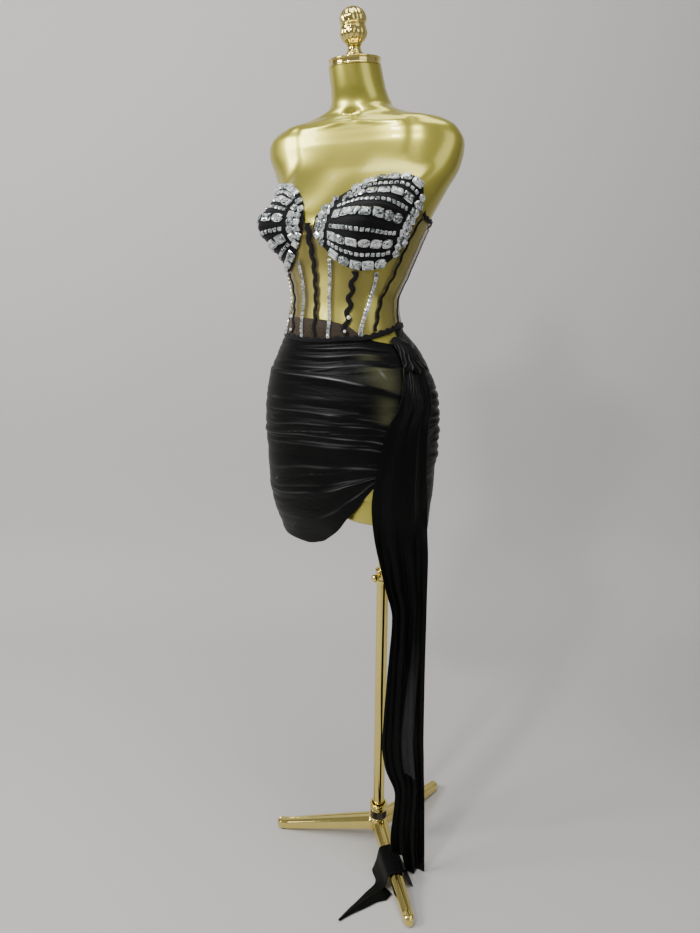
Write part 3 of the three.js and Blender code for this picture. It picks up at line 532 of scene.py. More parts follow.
net, tree, shader = new_finish("tan_net", Roughness=0.75, Sheen_Weight=0.04)
holes = use_group(tree, threads, Vector=cloth_map(tree), Count=900.0, Width=0.12)
drift = use_group(tree, clouds, Vector=object_place(tree), Scale=30.0).outputs[0]
tree.links.new(mixed_colour(tree, drift, (0.18, 0.13, 0.085, 1), (0.25, 0.185, 0.125, 1)), shader.inputs["Base Color"])
slant = add_node(tree, "ShaderNodeLayerWeight", None, Blend=0.4).outputs["Facing"]
thread_share = remapped(tree, maths(tree, "POWER", slant, 2.5), 0.17, 0.8)
openness = remapped(tree, holes.outputs["Mask"], 0.35, 1.0)
tree.links.new(maths(tree, "MULTIPLY", thread_share, openness), shader.inputs["Alpha"])
bumped(tree, shader, holes.outputs["Height"], 0.4, 0.0003)

velvet, tree, shader = new_finish("black_velvet", Roughness=0.92, Sheen_Weight=0.35, Sheen_Roughness=0.35)
shader.inputs["Sheen Tint"].default_value = (0.5, 0.48, 0.5, 1)
shader.inputs["Specular IOR Level"].default_value = 0.25
pile = use_group(tree, clouds, Vector=object_place(tree), Scale=900.0).outputs[0]
pile_colour = mixed_colour(tree, pile, (0.002, 0.002, 0.002, 1), (0.009, 0.008, 0.009, 1))
tree.links.new(pile_colour, shader.inputs["Base Color"])
bumped(tree, shader, pile, 0.5, 0.0004)

crystal, tree, shader = new_finish("foiled_stone", Specular_IOR_Level=0.8, Coat_Roughness=0.02)
shader.inputs["Coat Weight"].default_value = 0.9
spark = point_value(tree, "spark")
# Painted reflections: each facet's value picks a colour from near black to near white
facets = add_node(tree, "ShaderNodeValToRGB", None, Fac=spark)
ramp = facets.color_ramp
ramp.elements[0].color = (0.015, 0.019, 0.02, 1)
ramp.elements[1].color = (0.96, 0.97, 0.98, 1)
ramp.elements.new(0.3).color = (0.13, 0.155, 0.155, 1)
ramp.elements.new(0.62).color = (0.5, 0.54, 0.53, 1)
tree.links.new(facets.outputs[0], shader.inputs["Base Color"])
tree.links.new(remapped(tree, spark, 0.04, 0.16), shader.inputs["Roughness"])
shader.inputs["Metallic"].default_value = 0.35

pearl, tree, shader = new_finish("pearl", Roughness=0.25, Coat_Roughness=0.05)
shader.inputs["Coat Weight"].default_value = 0.6
lustre = use_group(tree, clouds, Vector=object_place(tree), Scale=300.0).outputs[0]
tree.links.new(mixed_colour(tree, lustre, (0.78, 0.74, 0.68, 1), (0.92, 0.9, 0.88, 1)), shader.inputs["Base Color"])
print("finishes:", [m.name for m in bpy.data.materials])

# %% [markdown]
# ## The form
#
# The body is a closed loft: a ring of points at each height, joined row by row and capped at both ends.
# A moulded form has a little relief: two collar bones that run out from a notch at the throat, a soft
# hollow down the middle of the chest, and a crease at each shoulder. They are low hills added to the
# distance out, so they stay part of one surface. The thigh stubs are lofts of their own, and their
# lower edges are rounded over.


# %% Form body and thighs
def hill(angle, z, at_angle, at_z, wide, tall):
    """A round hill: e to the minus squared distance, measured in its own widths."""
    return np.exp(-(((angle - at_angle) / wide) ** 2) - ((z - at_z) / tall) ** 2)


def along_line(angle, z, places, side, wide, tall):
    """A ridge of height 1 along a line of places, each an angle and a height, on one side of the body."""
    t = np.linspace(0, 1, 16)
    line = np.array(places, float)
    knots = np.linspace(0, 1, len(line))
    tops = zip(side * np.interp(t, knots, line[:, 0]), np.interp(t, knots, line[:, 1]))
    return np.max([hill(angle, z, at_angle, at_z, wide, tall) for at_angle, at_z in tops], axis=0)


# places of the form's ridges and creases on one side: the angle in degrees, and the height
COLLAR_BONE = [[5, 1478], [14, 1473], [26, 1473], [38, 1477], [58, 1484]]
SHOULDER_CREASE = [[37, 1470], [34, 1445], [33, 1420], [38, 1396], [45, 1374]]


def moulding(angle, z):
    """Relief of the form in millimetres: throat notch, hollow of the chest, collar bones and shoulder creases."""
    relief = -7 * hill(angle, z, 0, 1490, 8, 8) - 3 * hill(angle, z, 0, 1360, 9, 70)
    for side in (-1, 1):
        relief = relief + 4.5 * along_line(angle, z, COLLAR_BONE, side, 4, 5)
        relief = relief - 5 * hill(angle, z, side * 34, 1492, 20, 7)
        relief = relief - 3.2 * along_line(angle, z, SHOULDER_CREASE, side, 4.5, 12)
    return relief


def capped(rings):
    """Rings with a last point at each end, where the ring has shrunk to its middle."""
    ends = [np.broadcast_to(rings[k].mean(0), rings[k].shape)[None] for k in (0, -1)]
    return np.concatenate([ends[0], rings, ends[1]])


round_angles = np.linspace(-180, 180, 160, endpoint=False)
form_heights = np.linspace(CROTCH - 4, NECK_TOP, 200)
angle, z = np.meshgrid(round_angles, form_heights)
torso = capped(on_body(angle, z, moulding(angle, z)))
make_piece("form_torso", torso, squares(len(torso), 160, wrap=True), lacquer, ["form_body"], whole=True,
           sharp=50)

THIGH = {"centre": 87, "half": 83, "full": 0.85, "edge": 7}


def thigh_stub(side):
    """An ellipse at each height, drawn in by a quarter circle over the last few millimetres."""
    heights = THIGH_BOTTOM + np.concatenate([THIGH["edge"] * (1 - np.cos(np.linspace(0, np.pi / 2, 8))), [25, 60, 92]])
    rise = np.clip((heights - THIGH_BOTTOM) / THIGH["edge"], 0, 1)
    inset = THIGH["edge"] * (1 - np.sqrt(1 - (1 - rise) ** 2))
    a = np.linspace(0, 2 * np.pi, 96, endpoint=False)
    size = (THIGH["full"] * np.where(heights > CROTCH, 0.97, 1))[:, None]
    depth = np.where(np.cos(a) > 0, SECTIONS["front"](heights)[:, None], SECTIONS["back"](heights)[:, None]) * size
    x = side * THIGH["centre"] + (THIGH["half"] * size / THIGH["full"] - inset[:, None]) * np.sin(a)
    y = SECTIONS["shift_y"](heights)[:, None] - (depth - inset[:, None]) * np.cos(a)
    return capped(np.stack([x, y, np.broadcast_to(heights[:, None], x.shape)], -1))


for name, side_sign in SIDES:
    stub = thigh_stub(side_sign)
    make_piece(f"thigh_stub_{name}", stub, squares(len(stub), 96, wrap=True), lacquer, ["form_body"],
               whole=True, sharp=50)
print("form done")

# %% [markdown]
# ### Neck cap and finial
#
# Both are turned: a profile of radius and height carried round an axis. The neck leans, so the turned
# points are tilted by the same lean and then moved to the top of the neck. The finial's profile is a
# smooth curve through a few radii, and its relief is cut into the rings as a depth at each angle.


# %% Turned pieces
def turned_piece(name, profile, finish, slot, stands_for, place, sides=96, sharp=35):
    points = turned(profile, sides)
    return make_piece(name, place(points), squares(len(profile), sides, wrap=True), finish, stands_for,
                      sharp=sharp, whole=True)


def on_neck(points):
    """Tilts turned points by the lean about X, turns them about Z, and moves them to the neck's top."""
    lean, turn = NECK_LEAN, NECK_TURN
    tilt = np.array([[1, 0, 0], [0, math.cos(lean), -math.sin(lean)], [0, math.sin(lean), math.cos(lean)]])
    spin = np.array([[math.cos(turn), -math.sin(turn), 0], [math.sin(turn), math.cos(turn), 0], [0, 0, 1]])
    top = np.array([SECTIONS["shift_x"](NECK_TOP), SECTIONS["shift_y"](NECK_TOP), NECK_TOP])
    return points @ (spin @ tilt).T + top


def at_pole(points):
    return points + np.array([POLE_X, POLE_Y, 0])


CAP_LOW, CAP_HIGH, CAP_RADIUS = 0.4, 14.4, 48.0
turned_piece("neck_plate", eased_corners([
    (0, CAP_LOW), (CAP_RADIUS - 1, CAP_LOW), (CAP_RADIUS, CAP_LOW + 2), (CAP_RADIUS - 1.4, CAP_LOW + 4),
    (CAP_RADIUS - 1.4, CAP_HIGH - 4), (CAP_RADIUS, CAP_HIGH - 3), (CAP_RADIUS, CAP_HIGH - 1),
    (CAP_RADIUS - 3, CAP_HIGH), (0, CAP_HIGH)], 1.2), gold, "gold_metal", ["neck_cap"], on_neck, 160)
FINIAL = curve_through([0, 5, 10, 16, 21, 29, 39, 47, 52, 57, 63, 71, 77, 81, 82],
                       [17.5, 18.3, 14.5, 12, 14, 21, 25, 24.3, 22, 24, 24.5, 21.4, 15.5, 6, 0.01])
FINIAL_SIDES = 144


def finial_points():
    """The finial's curve as rings, carved with upright leaves below its waist and slanted flutes above it."""
    height = np.concatenate([np.linspace(0, 78, 110), 78 + 4 * np.sin(np.linspace(0.05, np.pi / 2, 14))])
    groove = sum(np.exp(-(((height - at) / 0.8) ** 2)) for at in (6.5, 18.0, 50.5, 54.0))
    rings = turned(np.stack([np.maximum(FINIAL(height) - 1.1 * groove, 0), height], -1), FINIAL_SIDES)
    a = np.linspace(0, 2 * np.pi, FINIAL_SIDES, endpoint=False)
    below, above = window(height, 22, 48, 2)[:, None], window(height, 57, 77, 2)[:, None]
    leaves = below * np.abs(np.sin(6 * a)) ** 0.6 * np.cos((height[:, None] - 35) / 9)
    flutes = above * np.abs(np.sin(7 * a + height[:, None] * 0.07))
    carved = 1.5 * (1 - leaves) * below + 1.3 * (1 - flutes) * above
    reach = np.maximum(np.hypot(rings[..., 0], rings[..., 1]), 0.001)
    rings[..., :2] *= np.clip(1 - carved / reach, 0.3, 1)[..., None]
    return capped(rings + [0, 0, CAP_HIGH + 0.3])


carving = finial_points()
make_piece("finial_turned", on_neck(carving), squares(len(carving), FINIAL_SIDES, wrap=True), gold,
           ["finial"], sharp=35, whole=True)
print("neck done")

# %% [markdown]
# ### The stand
#
# The pole is two tubes, one inside the other, held by a collar with a knob. Under it are a ring, a
# knurled grip and a collar, and three legs that slope to the floor. A knurl is cut by two sets of
# slanted grooves, so its radius is the smaller of two folded waves that run opposite ways round it.

# %% Pole, collar and hub
SEAM = 0.3
POLE_R, ROD_R, POLE_TOP, ROD_TOP, ROD_LOW = 12.0, 9.0, 622.0, 750.3, 400.0
HUB_LOW, HUB_RING, HUB_KNURL, HUB_TOP = 60.3, 68.0, 85.0, 100.0
slip, rod_slip = POLE_R + SEAM + 0.2, ROD_R + SEAM + 0.2
stand = {"finish": gold, "slot": "gold_metal", "place": at_pole}
turned_piece("pole_outer", eased_corners([
    (0, HUB_LOW), (POLE_R, HUB_LOW), (POLE_R, POLE_TOP), (rod_slip, POLE_TOP), (rod_slip, ROD_LOW - SEAM),
    (0, ROD_LOW - SEAM)], 0.6), stands_for=["pole_lower"], **stand)
turned_piece("pole_inner", eased_corners([(0, ROD_LOW), (ROD_R, ROD_LOW), (ROD_R, ROD_TOP), (0, ROD_TOP)], 0.6),
             stands_for=["pole_upper"], **stand)
COLLAR_LOW, COLLAR_HIGH, COLLAR_R = 612.0, 642.0, 15.5
turned_piece("collar_clamp", eased_corners([
    (slip, COLLAR_LOW), (COLLAR_R - 1, COLLAR_LOW), (COLLAR_R, COLLAR_LOW + 2), (COLLAR_R, 620), (COLLAR_R - 1.2, 621),
    (COLLAR_R - 1.2, 637), (COLLAR_R, 638), (COLLAR_R, COLLAR_HIGH - 1), (COLLAR_R - 2, COLLAR_HIGH),
    (rod_slip, COLLAR_HIGH), (rod_slip, POLE_TOP + SEAM), (slip, POLE_TOP + SEAM), (slip, COLLAR_LOW)], 0.7),
    stands_for=["clamp_collar"], **stand)
turned_piece("thigh_socket", eased_corners([
    (rod_slip, THIGH_BOTTOM - SEAM - 28), (15, THIGH_BOTTOM - SEAM - 28), (15, THIGH_BOTTOM - SEAM - 6),
    (28, THIGH_BOTTOM - SEAM - 4), (28, THIGH_BOTTOM - SEAM), (0, THIGH_BOTTOM - SEAM), (0, ROD_TOP + SEAM),
    (rod_slip, ROD_TOP + SEAM), (rod_slip, THIGH_BOTTOM - SEAM - 28)], 0.7), stands_for=["thigh_flange"], **stand)
turned_piece("hub_lower_ring", eased_corners([
    (slip, HUB_LOW), (18.7, HUB_LOW), (19.5, HUB_LOW + 2), (19.5, HUB_RING - 2), (18.7, HUB_RING), (slip, HUB_RING),
    (slip, HUB_LOW)], 0.9), stands_for=["hub_ring"], **stand)
turned_piece("hub_cup", eased_corners([
    (slip, HUB_KNURL + SEAM), (18, HUB_KNURL + SEAM), (19, HUB_KNURL + 3), (17.6, HUB_KNURL + 6),
    (17.4, HUB_TOP - 8), (19, HUB_TOP - 4), (19, HUB_TOP - 1.5), (18, HUB_TOP), (14, HUB_TOP), (slip, HUB_TOP - 8),
    (slip, HUB_KNURL + SEAM)], 0.8), stands_for=["hub_collar"], **stand)
BOSS_LOW, BOSS_TOP = 38.0, HUB_LOW - SEAM
turned_piece("tripod_boss", eased_corners([
    (0, BOSS_LOW), (19, BOSS_LOW), (20, BOSS_LOW + 2), (20, BOSS_TOP - 1), (19, BOSS_TOP), (0, BOSS_TOP)], 0.8),
    stands_for=["tripod_core"], **stand)


def knurled(sides=216):
    """A ring whose outside is the smaller of two slanted folded waves, 36 grooves each way."""
    heights = np.linspace(HUB_RING + SEAM, HUB_KNURL, 44)
    points = turned(np.stack([np.full(44, 18.0), heights], -1), sides)
    a = np.linspace(0, 2 * np.pi, sides, endpoint=False)
    slant = (heights[:, None] - HUB_RING) * 0.16
    edges = window(heights, HUB_RING + 1, HUB_KNURL - 1, 1)[:, None]
    teeth = np.minimum(*(np.abs(np.sin(18 * a + way * slant * 9)) for way in (1, -1)))
    cut = 1.3 * (1 - teeth) * edges
    points[..., :2] *= ((18 - cut) / 18)[..., None]
    inner = turned([(slip, HUB_KNURL), (slip, HUB_RING + SEAM)], sides)
    return np.concatenate([inner[1:], points, inner])


knurl = knurled()
make_piece("hub_grip", at_pole(knurl), squares(len(knurl), 216, wrap=True), dark_steel, ["hub_knurl"],
           sharp=30, whole=True)

KNOB_Y = POLE_Y - COLLAR_R - SEAM


def at_knob(points):
    """Lays a turned piece over, so that its axis points out to the front at the collar's height."""
    return np.stack([points[..., 0] + POLE_X, KNOB_Y - points[..., 2], points[..., 1] + 629], -1)


turned_piece("knob_screw", eased_corners([
    (0, 0), (3, 0), (3, 5), (6.6, 6), (7.5, 7.5), (7.5, 13), (6, 15.6), (3.5, 17), (0, 17)], 0.8), gold, "gold_metal",
    ["clamp_knob"], at_knob, 64)
print("stand's turned pieces done")

# %% [markdown]
# A leg is one section carried from the hub to its rounded tip. The section is a flat bar with bevelled
# shoulders and a groove along the top between two ridges. Its width, top and bottom are straight lines
# in the distance from the pole, until the tip, where a quarter circle draws it in.

# %% Legs and foot pads
FEET_RADIUS, FEET_AZIMUTHS = 230.0, (207, 321.5, 88)
LEG_ROOT_TOP, LEG_ROOT_LOW, LEG_TIP_TOP, LEG_TIP_LOW, LEG_ROOT_HALF, LEG_TIP_HALF = 67.0, 40.0, 23.0, 4.0, 16.5, 10.5
LEG_START, LEG_RUN, LEG_INNER = 18.0, 192.0, 12.2


def leg_line(reach, root, tip):
    """A straight line from the root, by the pole, to the tip."""
    return between(root, tip, np.clip((reach - LEG_START) / LEG_RUN, 0, 1))


def polar(azimuth, reach, aside):
    """A point at a distance along a leg's direction and to its side, measured from the pole."""
    a = math.radians(azimuth)
    return POLE_X + reach * math.cos(a) - aside * math.sin(a), POLE_Y + reach * math.sin(a) + aside * math.cos(a)


def leg(azimuth):
    """Rings of the bar's section. Across runs from -1 to 1, and up from 0 at the bottom to 1 at the top."""
    tip = np.sin(np.linspace(0, np.pi / 2, 14))
    reach = np.concatenate([np.linspace(LEG_INNER, FEET_RADIUS - 12, 40), FEET_RADIUS - 12 + 12 * tip[1:]])
    narrow = np.concatenate([np.ones(40), np.sqrt(np.maximum(1 - tip[1:] ** 2, 0.06))])
    section = eased_corners([
        (-1, 0.3), (-0.96, 0.02), (-0.86, 0), (0.86, 0), (0.96, 0.02), (1, 0.3), (0.99, 0.74), (0.9, 0.84), (0.42, 1),
        (0.24, 0.99), (0.16, 0.93), (-0.16, 0.93), (-0.24, 0.99), (-0.42, 1), (-0.9, 0.84), (-0.99, 0.74), (-1, 0.3)],
        0.05, 3)[:-1]
    top = leg_line(reach, LEG_ROOT_TOP, LEG_TIP_TOP) - 8 * (1 - narrow)
    low = leg_line(reach, LEG_ROOT_LOW, LEG_TIP_LOW)
    half = leg_line(reach, LEG_ROOT_HALF, LEG_TIP_HALF) * narrow
    x, y = polar(azimuth, reach[:, None], half[:, None] * section[:, 0])
    height = between(low[:, None], top[:, None], section[:, 1])
    return capped(np.stack([x, y, height], -1))


for k, foot in enumerate(FEET_AZIMUTHS, 1):
    bar = leg(foot)
    make_piece(f"leg_bar_{k}", bar, squares(*bar.shape[:2], wrap=True), gold, [f"leg_{k}"], sharp=30,
               whole=True)
    spot = np.array([*polar(foot, FEET_RADIUS - 14, 0), 0])
    turned_piece(f"pad_{k}", eased_corners([(0, 0), (7.4, 0), (8, 0.8), (8, 3.7), (0, 3.7)], 0.4), rubber,
                 "rubber_pad", [f"foot_pad_{k}"], lambda points, spot=spot: points + spot, 48)
print("legs done")

# %% [markdown]
# ## The skirt
#
# The skirt is ruched: far more cloth than the body needs is gathered at the left hip and at the right
# seam, so folds run across it. A table gives the height of each fold's ridge or valley at the side
# seam, across the front and at the wrap's edge, and how far it stands out. Between two entries a
# quarter sine is used rather than a smooth step, because gathered cloth is round on its ridges and
# sharp in its valleys. Finer, uneven folds are then laid along the same lines, so they fan out as the
# main ones do.

# %% Fold tables
SKIRT_GAP, CLOTH = 1.1, 1.0
SKIRT_OUT = SKIRT_GAP + CLOTH
WAIST_ROWS = 3
SKIRT_ARC = 0.3
SKIRT_TOP = curve_through([-95, -35, 0, 32, 43, 53, 67, 78], [1130, 1135, 1133, 1122, 1106, 1096, 1091, 1086])
SKIRT_HEM = curve_through([-95, -36, -16, -2, 5, 13, 20, 28, 37, 46],
                          [694, 690, 690, 700, 716, 738, 766, 790, 822, 846])
WRAP_EDGE = curve_through([815, 850, 900, 940, 990, 1040, 1092], [42, 46, 52, 58, 66, 72, 76])
RIGHT_SEAM, BACK_FROM, BACK_TO = -92.0, 84.0, 268.0  # angles of the seams between the front and the back
BACK_TOP = curve_through([84, 94, 120, 180, 270], [1100, 1127, 1128, 1124, 1130])
BACK_HEM = curve_through([84, 120, 180, 270], [735, 725, 712, 694])

# Columns: side seam, right of the front, middle, left, wrap edge, rise
FRONT_ANGLES = [-92, -35, 0, 35, 60]
FRONT_FOLDS = np.array([
    [1106, 1096, 1090, 1090, 1084, 0], [1096, 1085, 1080, 1084, 1079, 2], [1088, 1077, 1073, 1078, 1073, 0.2],
    [1076, 1069, 1065, 1072, 1067, 2.2], [1062, 1058, 1056, 1062, 1059, 0.2], [1050, 1046, 1046, 1054, 1050, 1.5],
    [1042, 1038, 1037, 1036, 1034, 0.2], [1034, 1031, 1030, 1019, 1006, 4], [1022, 1018, 1016, 1006, 996, 0.2],
    [996, 992, 990, 985, 980, 1.2], [976, 972, 975, 970, 964, 0.2], [962, 960, 964, 959, 951, 2.5],
    [949, 947, 953, 952, 942, 0.3], [935, 930, 942, 945, 933, 2.5], [924, 921, 930, 933, 922, 0.2],
    [914, 911, 920, 921, 910, 4], [906, 903, 911, 913, 902, 0.2], [896, 895, 902, 906, 895, 2.2],
    [872, 872, 880, 888, 878, 0.2], [846, 841, 860, 870, 866, 2], [826, 822, 842, 858, 859, 0.2],
])
# Below those, the rows share out the height that is left above the hem. Columns: share, rise
HEM_FOLDS = np.array([[0.86, 1.6], [0.76, 4], [0.66, 0.2], [0.52, 1], [0.38, 1.8], [0.2, 0.2], [0, 0]])
# Columns: edge by the train, hip, middle of the back, side seam, rise
BACK_ANGLES = [84, 110, 180, 268]
BACK_FOLDS = np.array([
    [1084, 1108, 1106, 1112, 0], [1074, 1092, 1091, 1100, 2.5], [1062, 1072, 1070, 1088, 0.2],
    [1050, 1053, 1051, 1062, 3], [1036, 1036, 1036, 1042, 0.2], [1022, 1019, 1018, 1030, 3],
    [1008, 1004, 1000, 1012, 0.2], [994, 989, 982, 990, 3], [978, 973, 964, 974, 0.2], [962, 957, 947, 958, 3],
    [946, 941, 930, 935, 0.2], [928, 924, 912, 914, 3.5], [908, 903, 890, 896, 0.2], [884, 878, 866, 860, 3],
    [858, 850, 836, 832, 0.2], [830, 820, 804, 800, 3], [796, 784, 770, 766, 0.2],
])
FRONT_RISE = np.concatenate([np.zeros(WAIST_ROWS), FRONT_FOLDS[:, 5], HEM_FOLDS[:, 1]])
BACK_RISE = np.concatenate([np.zeros(WAIST_ROWS), BACK_FOLDS[:, 4], [0]])
print(len(FRONT_FOLDS) + len(HEM_FOLDS), "rows of folds in front and", len(BACK_FOLDS), "behind")


# %% Skirt surface
def tuck(angle, z):
    """Below the thigh stubs the cloth pulls in on the right, by up to 12 mm."""
    round_side = ease(angle, -150, -80) * (1 - ease(angle, 0, 25))
    return -12 * round_side * ease(770 - z, 0, 80)


def rows_between(values, count):
    """A table's rows read at evenly spread places between its first and last row, column by column."""
    places = np.linspace(0, len(values) - 1, count)
    return np.stack([curve_through(np.arange(len(values)), values[:, k])(places) for k in range(values.shape[1])], 1)


def ridges(rise, count):
    """Rises read between the rows. From a valley to a ridge it follows a quarter sine, so that valleys are sharp."""
    places = np.linspace(0, len(rise) - 1, count)
    k = np.clip(places.astype(int), 0, len(rise) - 2)
    t = places - k
    up = rise[k + 1] > rise[k]
    share = np.where(up, np.sin(np.pi / 2 * t), 1 - np.cos(np.pi / 2 * t))
    return between(rise[k], rise[k + 1], share)


def small_folds(seed, across, along, rate, rise):
    """Uneven fine folds: a folded sine across, whose rate, phase and strength drift slowly along."""
    drift = rough_wave(seed, along * 1.3, across * 0.4)
    strength = 0.5 + 0.5 * rough_wave(seed + 1, along * 2.1, across * 1.7)
    return rise * np.clip(strength, 0, 1) * (1 - np.abs(np.sin(across * rate + 3.1 * drift))) ** 1.5


def front_surface(rows, cols):
    """Angles, heights and distances of the wrap front. Its right side is a seam and its left side follows the wrap's
    edge, so each row's angles depend on its heights, and both are settled by repeating the pair of lines."""
    u = np.linspace(0, 1, cols)
    nodes_u = np.linspace(0, 1, 60)
    folds = len(FRONT_FOLDS)
    fold_lines = [curve_through(FRONT_ANGLES, row[:5]) for row in FRONT_FOLDS]
    angle = np.broadcast_to(between(RIGHT_SEAM + SKIRT_ARC, 46, nodes_u), (WAIST_ROWS + folds + len(HEM_FOLDS), 60))
    for _ in range(8):
        lines = np.stack([line(row) for line, row in zip(fold_lines, angle[WAIST_ROWS:])])
        top = [between(SKIRT_TOP(angle[k]), fold_lines[0](angle[k]), k / WAIST_ROWS) for k in range(WAIST_ROWS)]
        low_angles = angle[WAIST_ROWS + folds:]
        low_rows = between(SKIRT_HEM(low_angles), fold_lines[-1](low_angles), HEM_FOLDS[:, :1])
        height = np.concatenate([np.stack(top), lines, low_rows])
        angle = between(RIGHT_SEAM + SKIRT_ARC, WRAP_EDGE(height), nodes_u)
    rise = ridges(FRONT_RISE, rows)[:, None]
    height, angle = rows_between(height, rows), rows_between(angle, rows)
    height = np.stack([np.interp(u, nodes_u, row) for row in height])
    angle = np.stack([np.interp(u, nodes_u, row) for row in angle])
    return angle, height, rise


def highlight_lines(rise, count, least):
    """Painted highlight lines: 1 along each ridge of a table that stands out at least so far, falling off within a
    ninth of a row.
    """
    places = np.linspace(0, len(rise) - 1, count)[:, None]
    rows = np.arange(len(rise))
    height = np.where(rise >= least, np.clip(rise / 4, 0, 1), 0)
    return np.sum(height * np.exp(-(((places - rows) / 0.11) ** 2)), -1)[:, None]


rows, cols = 290, 130
angle, z, rise = front_surface(rows, cols)
v, u = grid(rows, cols)
uneven = 0.72 + 0.28 * rough_wave(11, u * 5, v * 9)
fade = ease(v, 0.02, 0.1) * (1 - ease(v, 0.985, 1))
tight = small_folds(21, v * 60, u * 4, 1.0, 1.3)
finer = small_folds(31, v * 130, u * 7, 1.0, 0.6)
out = SKIRT_OUT + rise * uneven * (1 - 0.5 * ease(angle, 25, 50)) + tuck(angle, z) + fade * (tight + finer)
out = out + 0.5 * fade * rough_wave(41, u * 3, v * 22)
# The single layer is sheer between folds over the left thigh: two bright panels and a faint one above them
place = v * (WAIST_ROWS + len(FRONT_FOLDS) + len(HEM_FOLDS) - 1)
bare = (window(place, 8.15, 9.9, 0.14) * np.exp(-(((angle - 50) / 11) ** 2)) * (0.75 + 0.25 * ease(z, 1010, 1050))
        + 0.55 * window(place, 11.1, 14.5, 0.5) * np.exp(-(((angle - 51) / 8) ** 2))
        + 0.4 * window(place, 5.7, 6.9, 0.2) * np.exp(-(((angle - 41) / 9) ** 2)))
bare = bare * np.clip(0.85 + 0.3 * rough_wave(51, u * 9, v * 14), 0, 1)
# Painted highlight lines lie along the ridges, strongest ahead of the left thigh, and along a few tight folds
highlight_breakup = np.clip(0.5 + 0.9 * rough_wave(53, u * 9, v * 5), 0, 1)
lit = 0.2 + 0.8 * np.exp(-(((angle - 20) / 20) ** 2))
crest_highlight = highlight_lines(FRONT_RISE, rows, 1.5) * highlight_breakup * lit + 0.5 * (tight / 1.3) ** 6 * highlight_breakup
# A painted highlight: a short slanted glint on the left thigh
glint = np.exp(-(((angle - 49 - (1040 - z) * 0.3) / 0.7) ** 2) - ((z - 1040) / 6) ** 2)
cloth_piece("skirt_wrap_front", on_body(angle, z, out), jersey, ["skirt_front"],
            over=True,
            facts={"sheer": np.clip(bare, 0, 1), "crest_highlight": np.clip(crest_highlight + glint, 0, 1) * fade})


def back_surface(rows, cols):
    """Angles, heights and distances of the back, whose columns are closer together by the train."""
    u = np.linspace(0, 1, cols)
    angle = between(BACK_FROM, BACK_TO - SKIRT_ARC, u**1.1)
    lines = np.stack([curve_through(BACK_ANGLES, row[:4])(angle) for row in BACK_FOLDS])
    top = np.stack([between(BACK_TOP(angle), lines[0], k / WAIST_ROWS) for k in range(WAIST_ROWS)])
    height = rows_between(np.concatenate([top, lines, BACK_HEM(angle)[None]]), rows)
    rise = ridges(BACK_RISE, rows)[:, None]
    return np.broadcast_to(angle, height.shape), height, rise


angle, z, rise = back_surface(rows, cols)
uneven = 0.7 + 0.3 * rough_wave(61, u * 7, v * 8)
tight = small_folds(71, v * 56, u * 6, 1.0, 1.3)
out = SKIRT_OUT + rise * uneven * (0.5 + 0.5 * ease(angle, 92, 110)) + tuck(angle - 360, z)
out = out + fade * (tight + small_folds(81, v * 120, u * 9, 1.0, 0.6))
# Eight small puffs down the side behind the train, where a drawstring pulls the cloth up
puffs = np.abs(np.sin(np.pi * (z - 870) / 17 + 0.7 * rough_wave(83, z * 0.05))) ** 0.7
out = out + 3.6 * puffs * window(angle, 98, 122, 6) * window(z, 868, 1010, 8)
# Painted highlight lines along the larger ridges and the tight folds
crest_highlight = highlight_lines(BACK_RISE, rows, 2.5) * np.clip(0.3 + 0.6 * rough_wave(85, u * 11, v * 5), 0, 1)
cloth_piece("skirt_back_panel", on_body(angle, z, out), jersey, ["skirt_back"],
            over=True,
            facts={"sheer": np.zeros_like(z), "crest_highlight": np.clip(0.6 * crest_highlight + 0.2 * tight, 0, 1) * fade})

# %% [markdown]
# ### Gather and train
#
# At the left hip the wrap is drawn into a knot of tight pleats, and from under it the train falls to the
# floor. On the hip the train's pleats follow the body. Lower down they hang free, so its two edges are
# given as places on plan, and the surface eases from one to the other. The pleats are a cosine across
# the cloth with finer ones on top, and each is drawn a little sideways as it falls, as hung cloth is.


# %% Hip gather
GATHER_LOW, GATHER_HIGH, GATHER_FRONT, GATHER_REAR, GATHER_GAP, GATHER_SWELL = 1060.4, 1103.0, 69.0, 91.0, 4.4, 6.0


def gather(rows, cols):
    """A puff on the hip whose pleats fan out from its top, and whose lower edge flares over the train."""
    v, u = grid(rows, cols)
    flare = 1 - ease(v, 0, 0.38)
    angle = between(GATHER_FRONT - 2.5 * flare, GATHER_REAR + 4 * flare, u)
    low = GATHER_LOW - 17 + 5 * rough_wave(93, u * 9)
    height = between(low, GATHER_HIGH - 7 * (2 * u - 1) ** 2, v)
    crown = np.sin(np.pi * v) ** 0.7 * np.sin(np.pi * np.clip(u, 0.04, 0.96)) ** 0.5
    fan = np.arctan2(u - 0.5, 1.3 - v)
    pleat = 1 - np.abs(np.sin(fan * 17 + 1.6 * rough_wave(91, u * 3, v * 3)))
    out = GATHER_GAP + CLOTH + crown * GATHER_SWELL + 7.6 * flare + 2.6 * (pleat - 0.5) * ease(1 - v, 0.05, 0.3)
    # The second value is a painted highlight along the pleat ridges, stronger in patches
    return on_body(angle, height, out), pleat**6 * (0.25 + 0.5 * np.clip(rough_wave(95, u * 8, v * 3), 0, 1))


puff, puff_highlight = gather(100, 130)
cloth_piece("hip_gather_knot", puff, jersey, ["hip_gather"],
            facts={"sheer": np.zeros(puff.shape[:2]), "crest_highlight": puff_highlight})

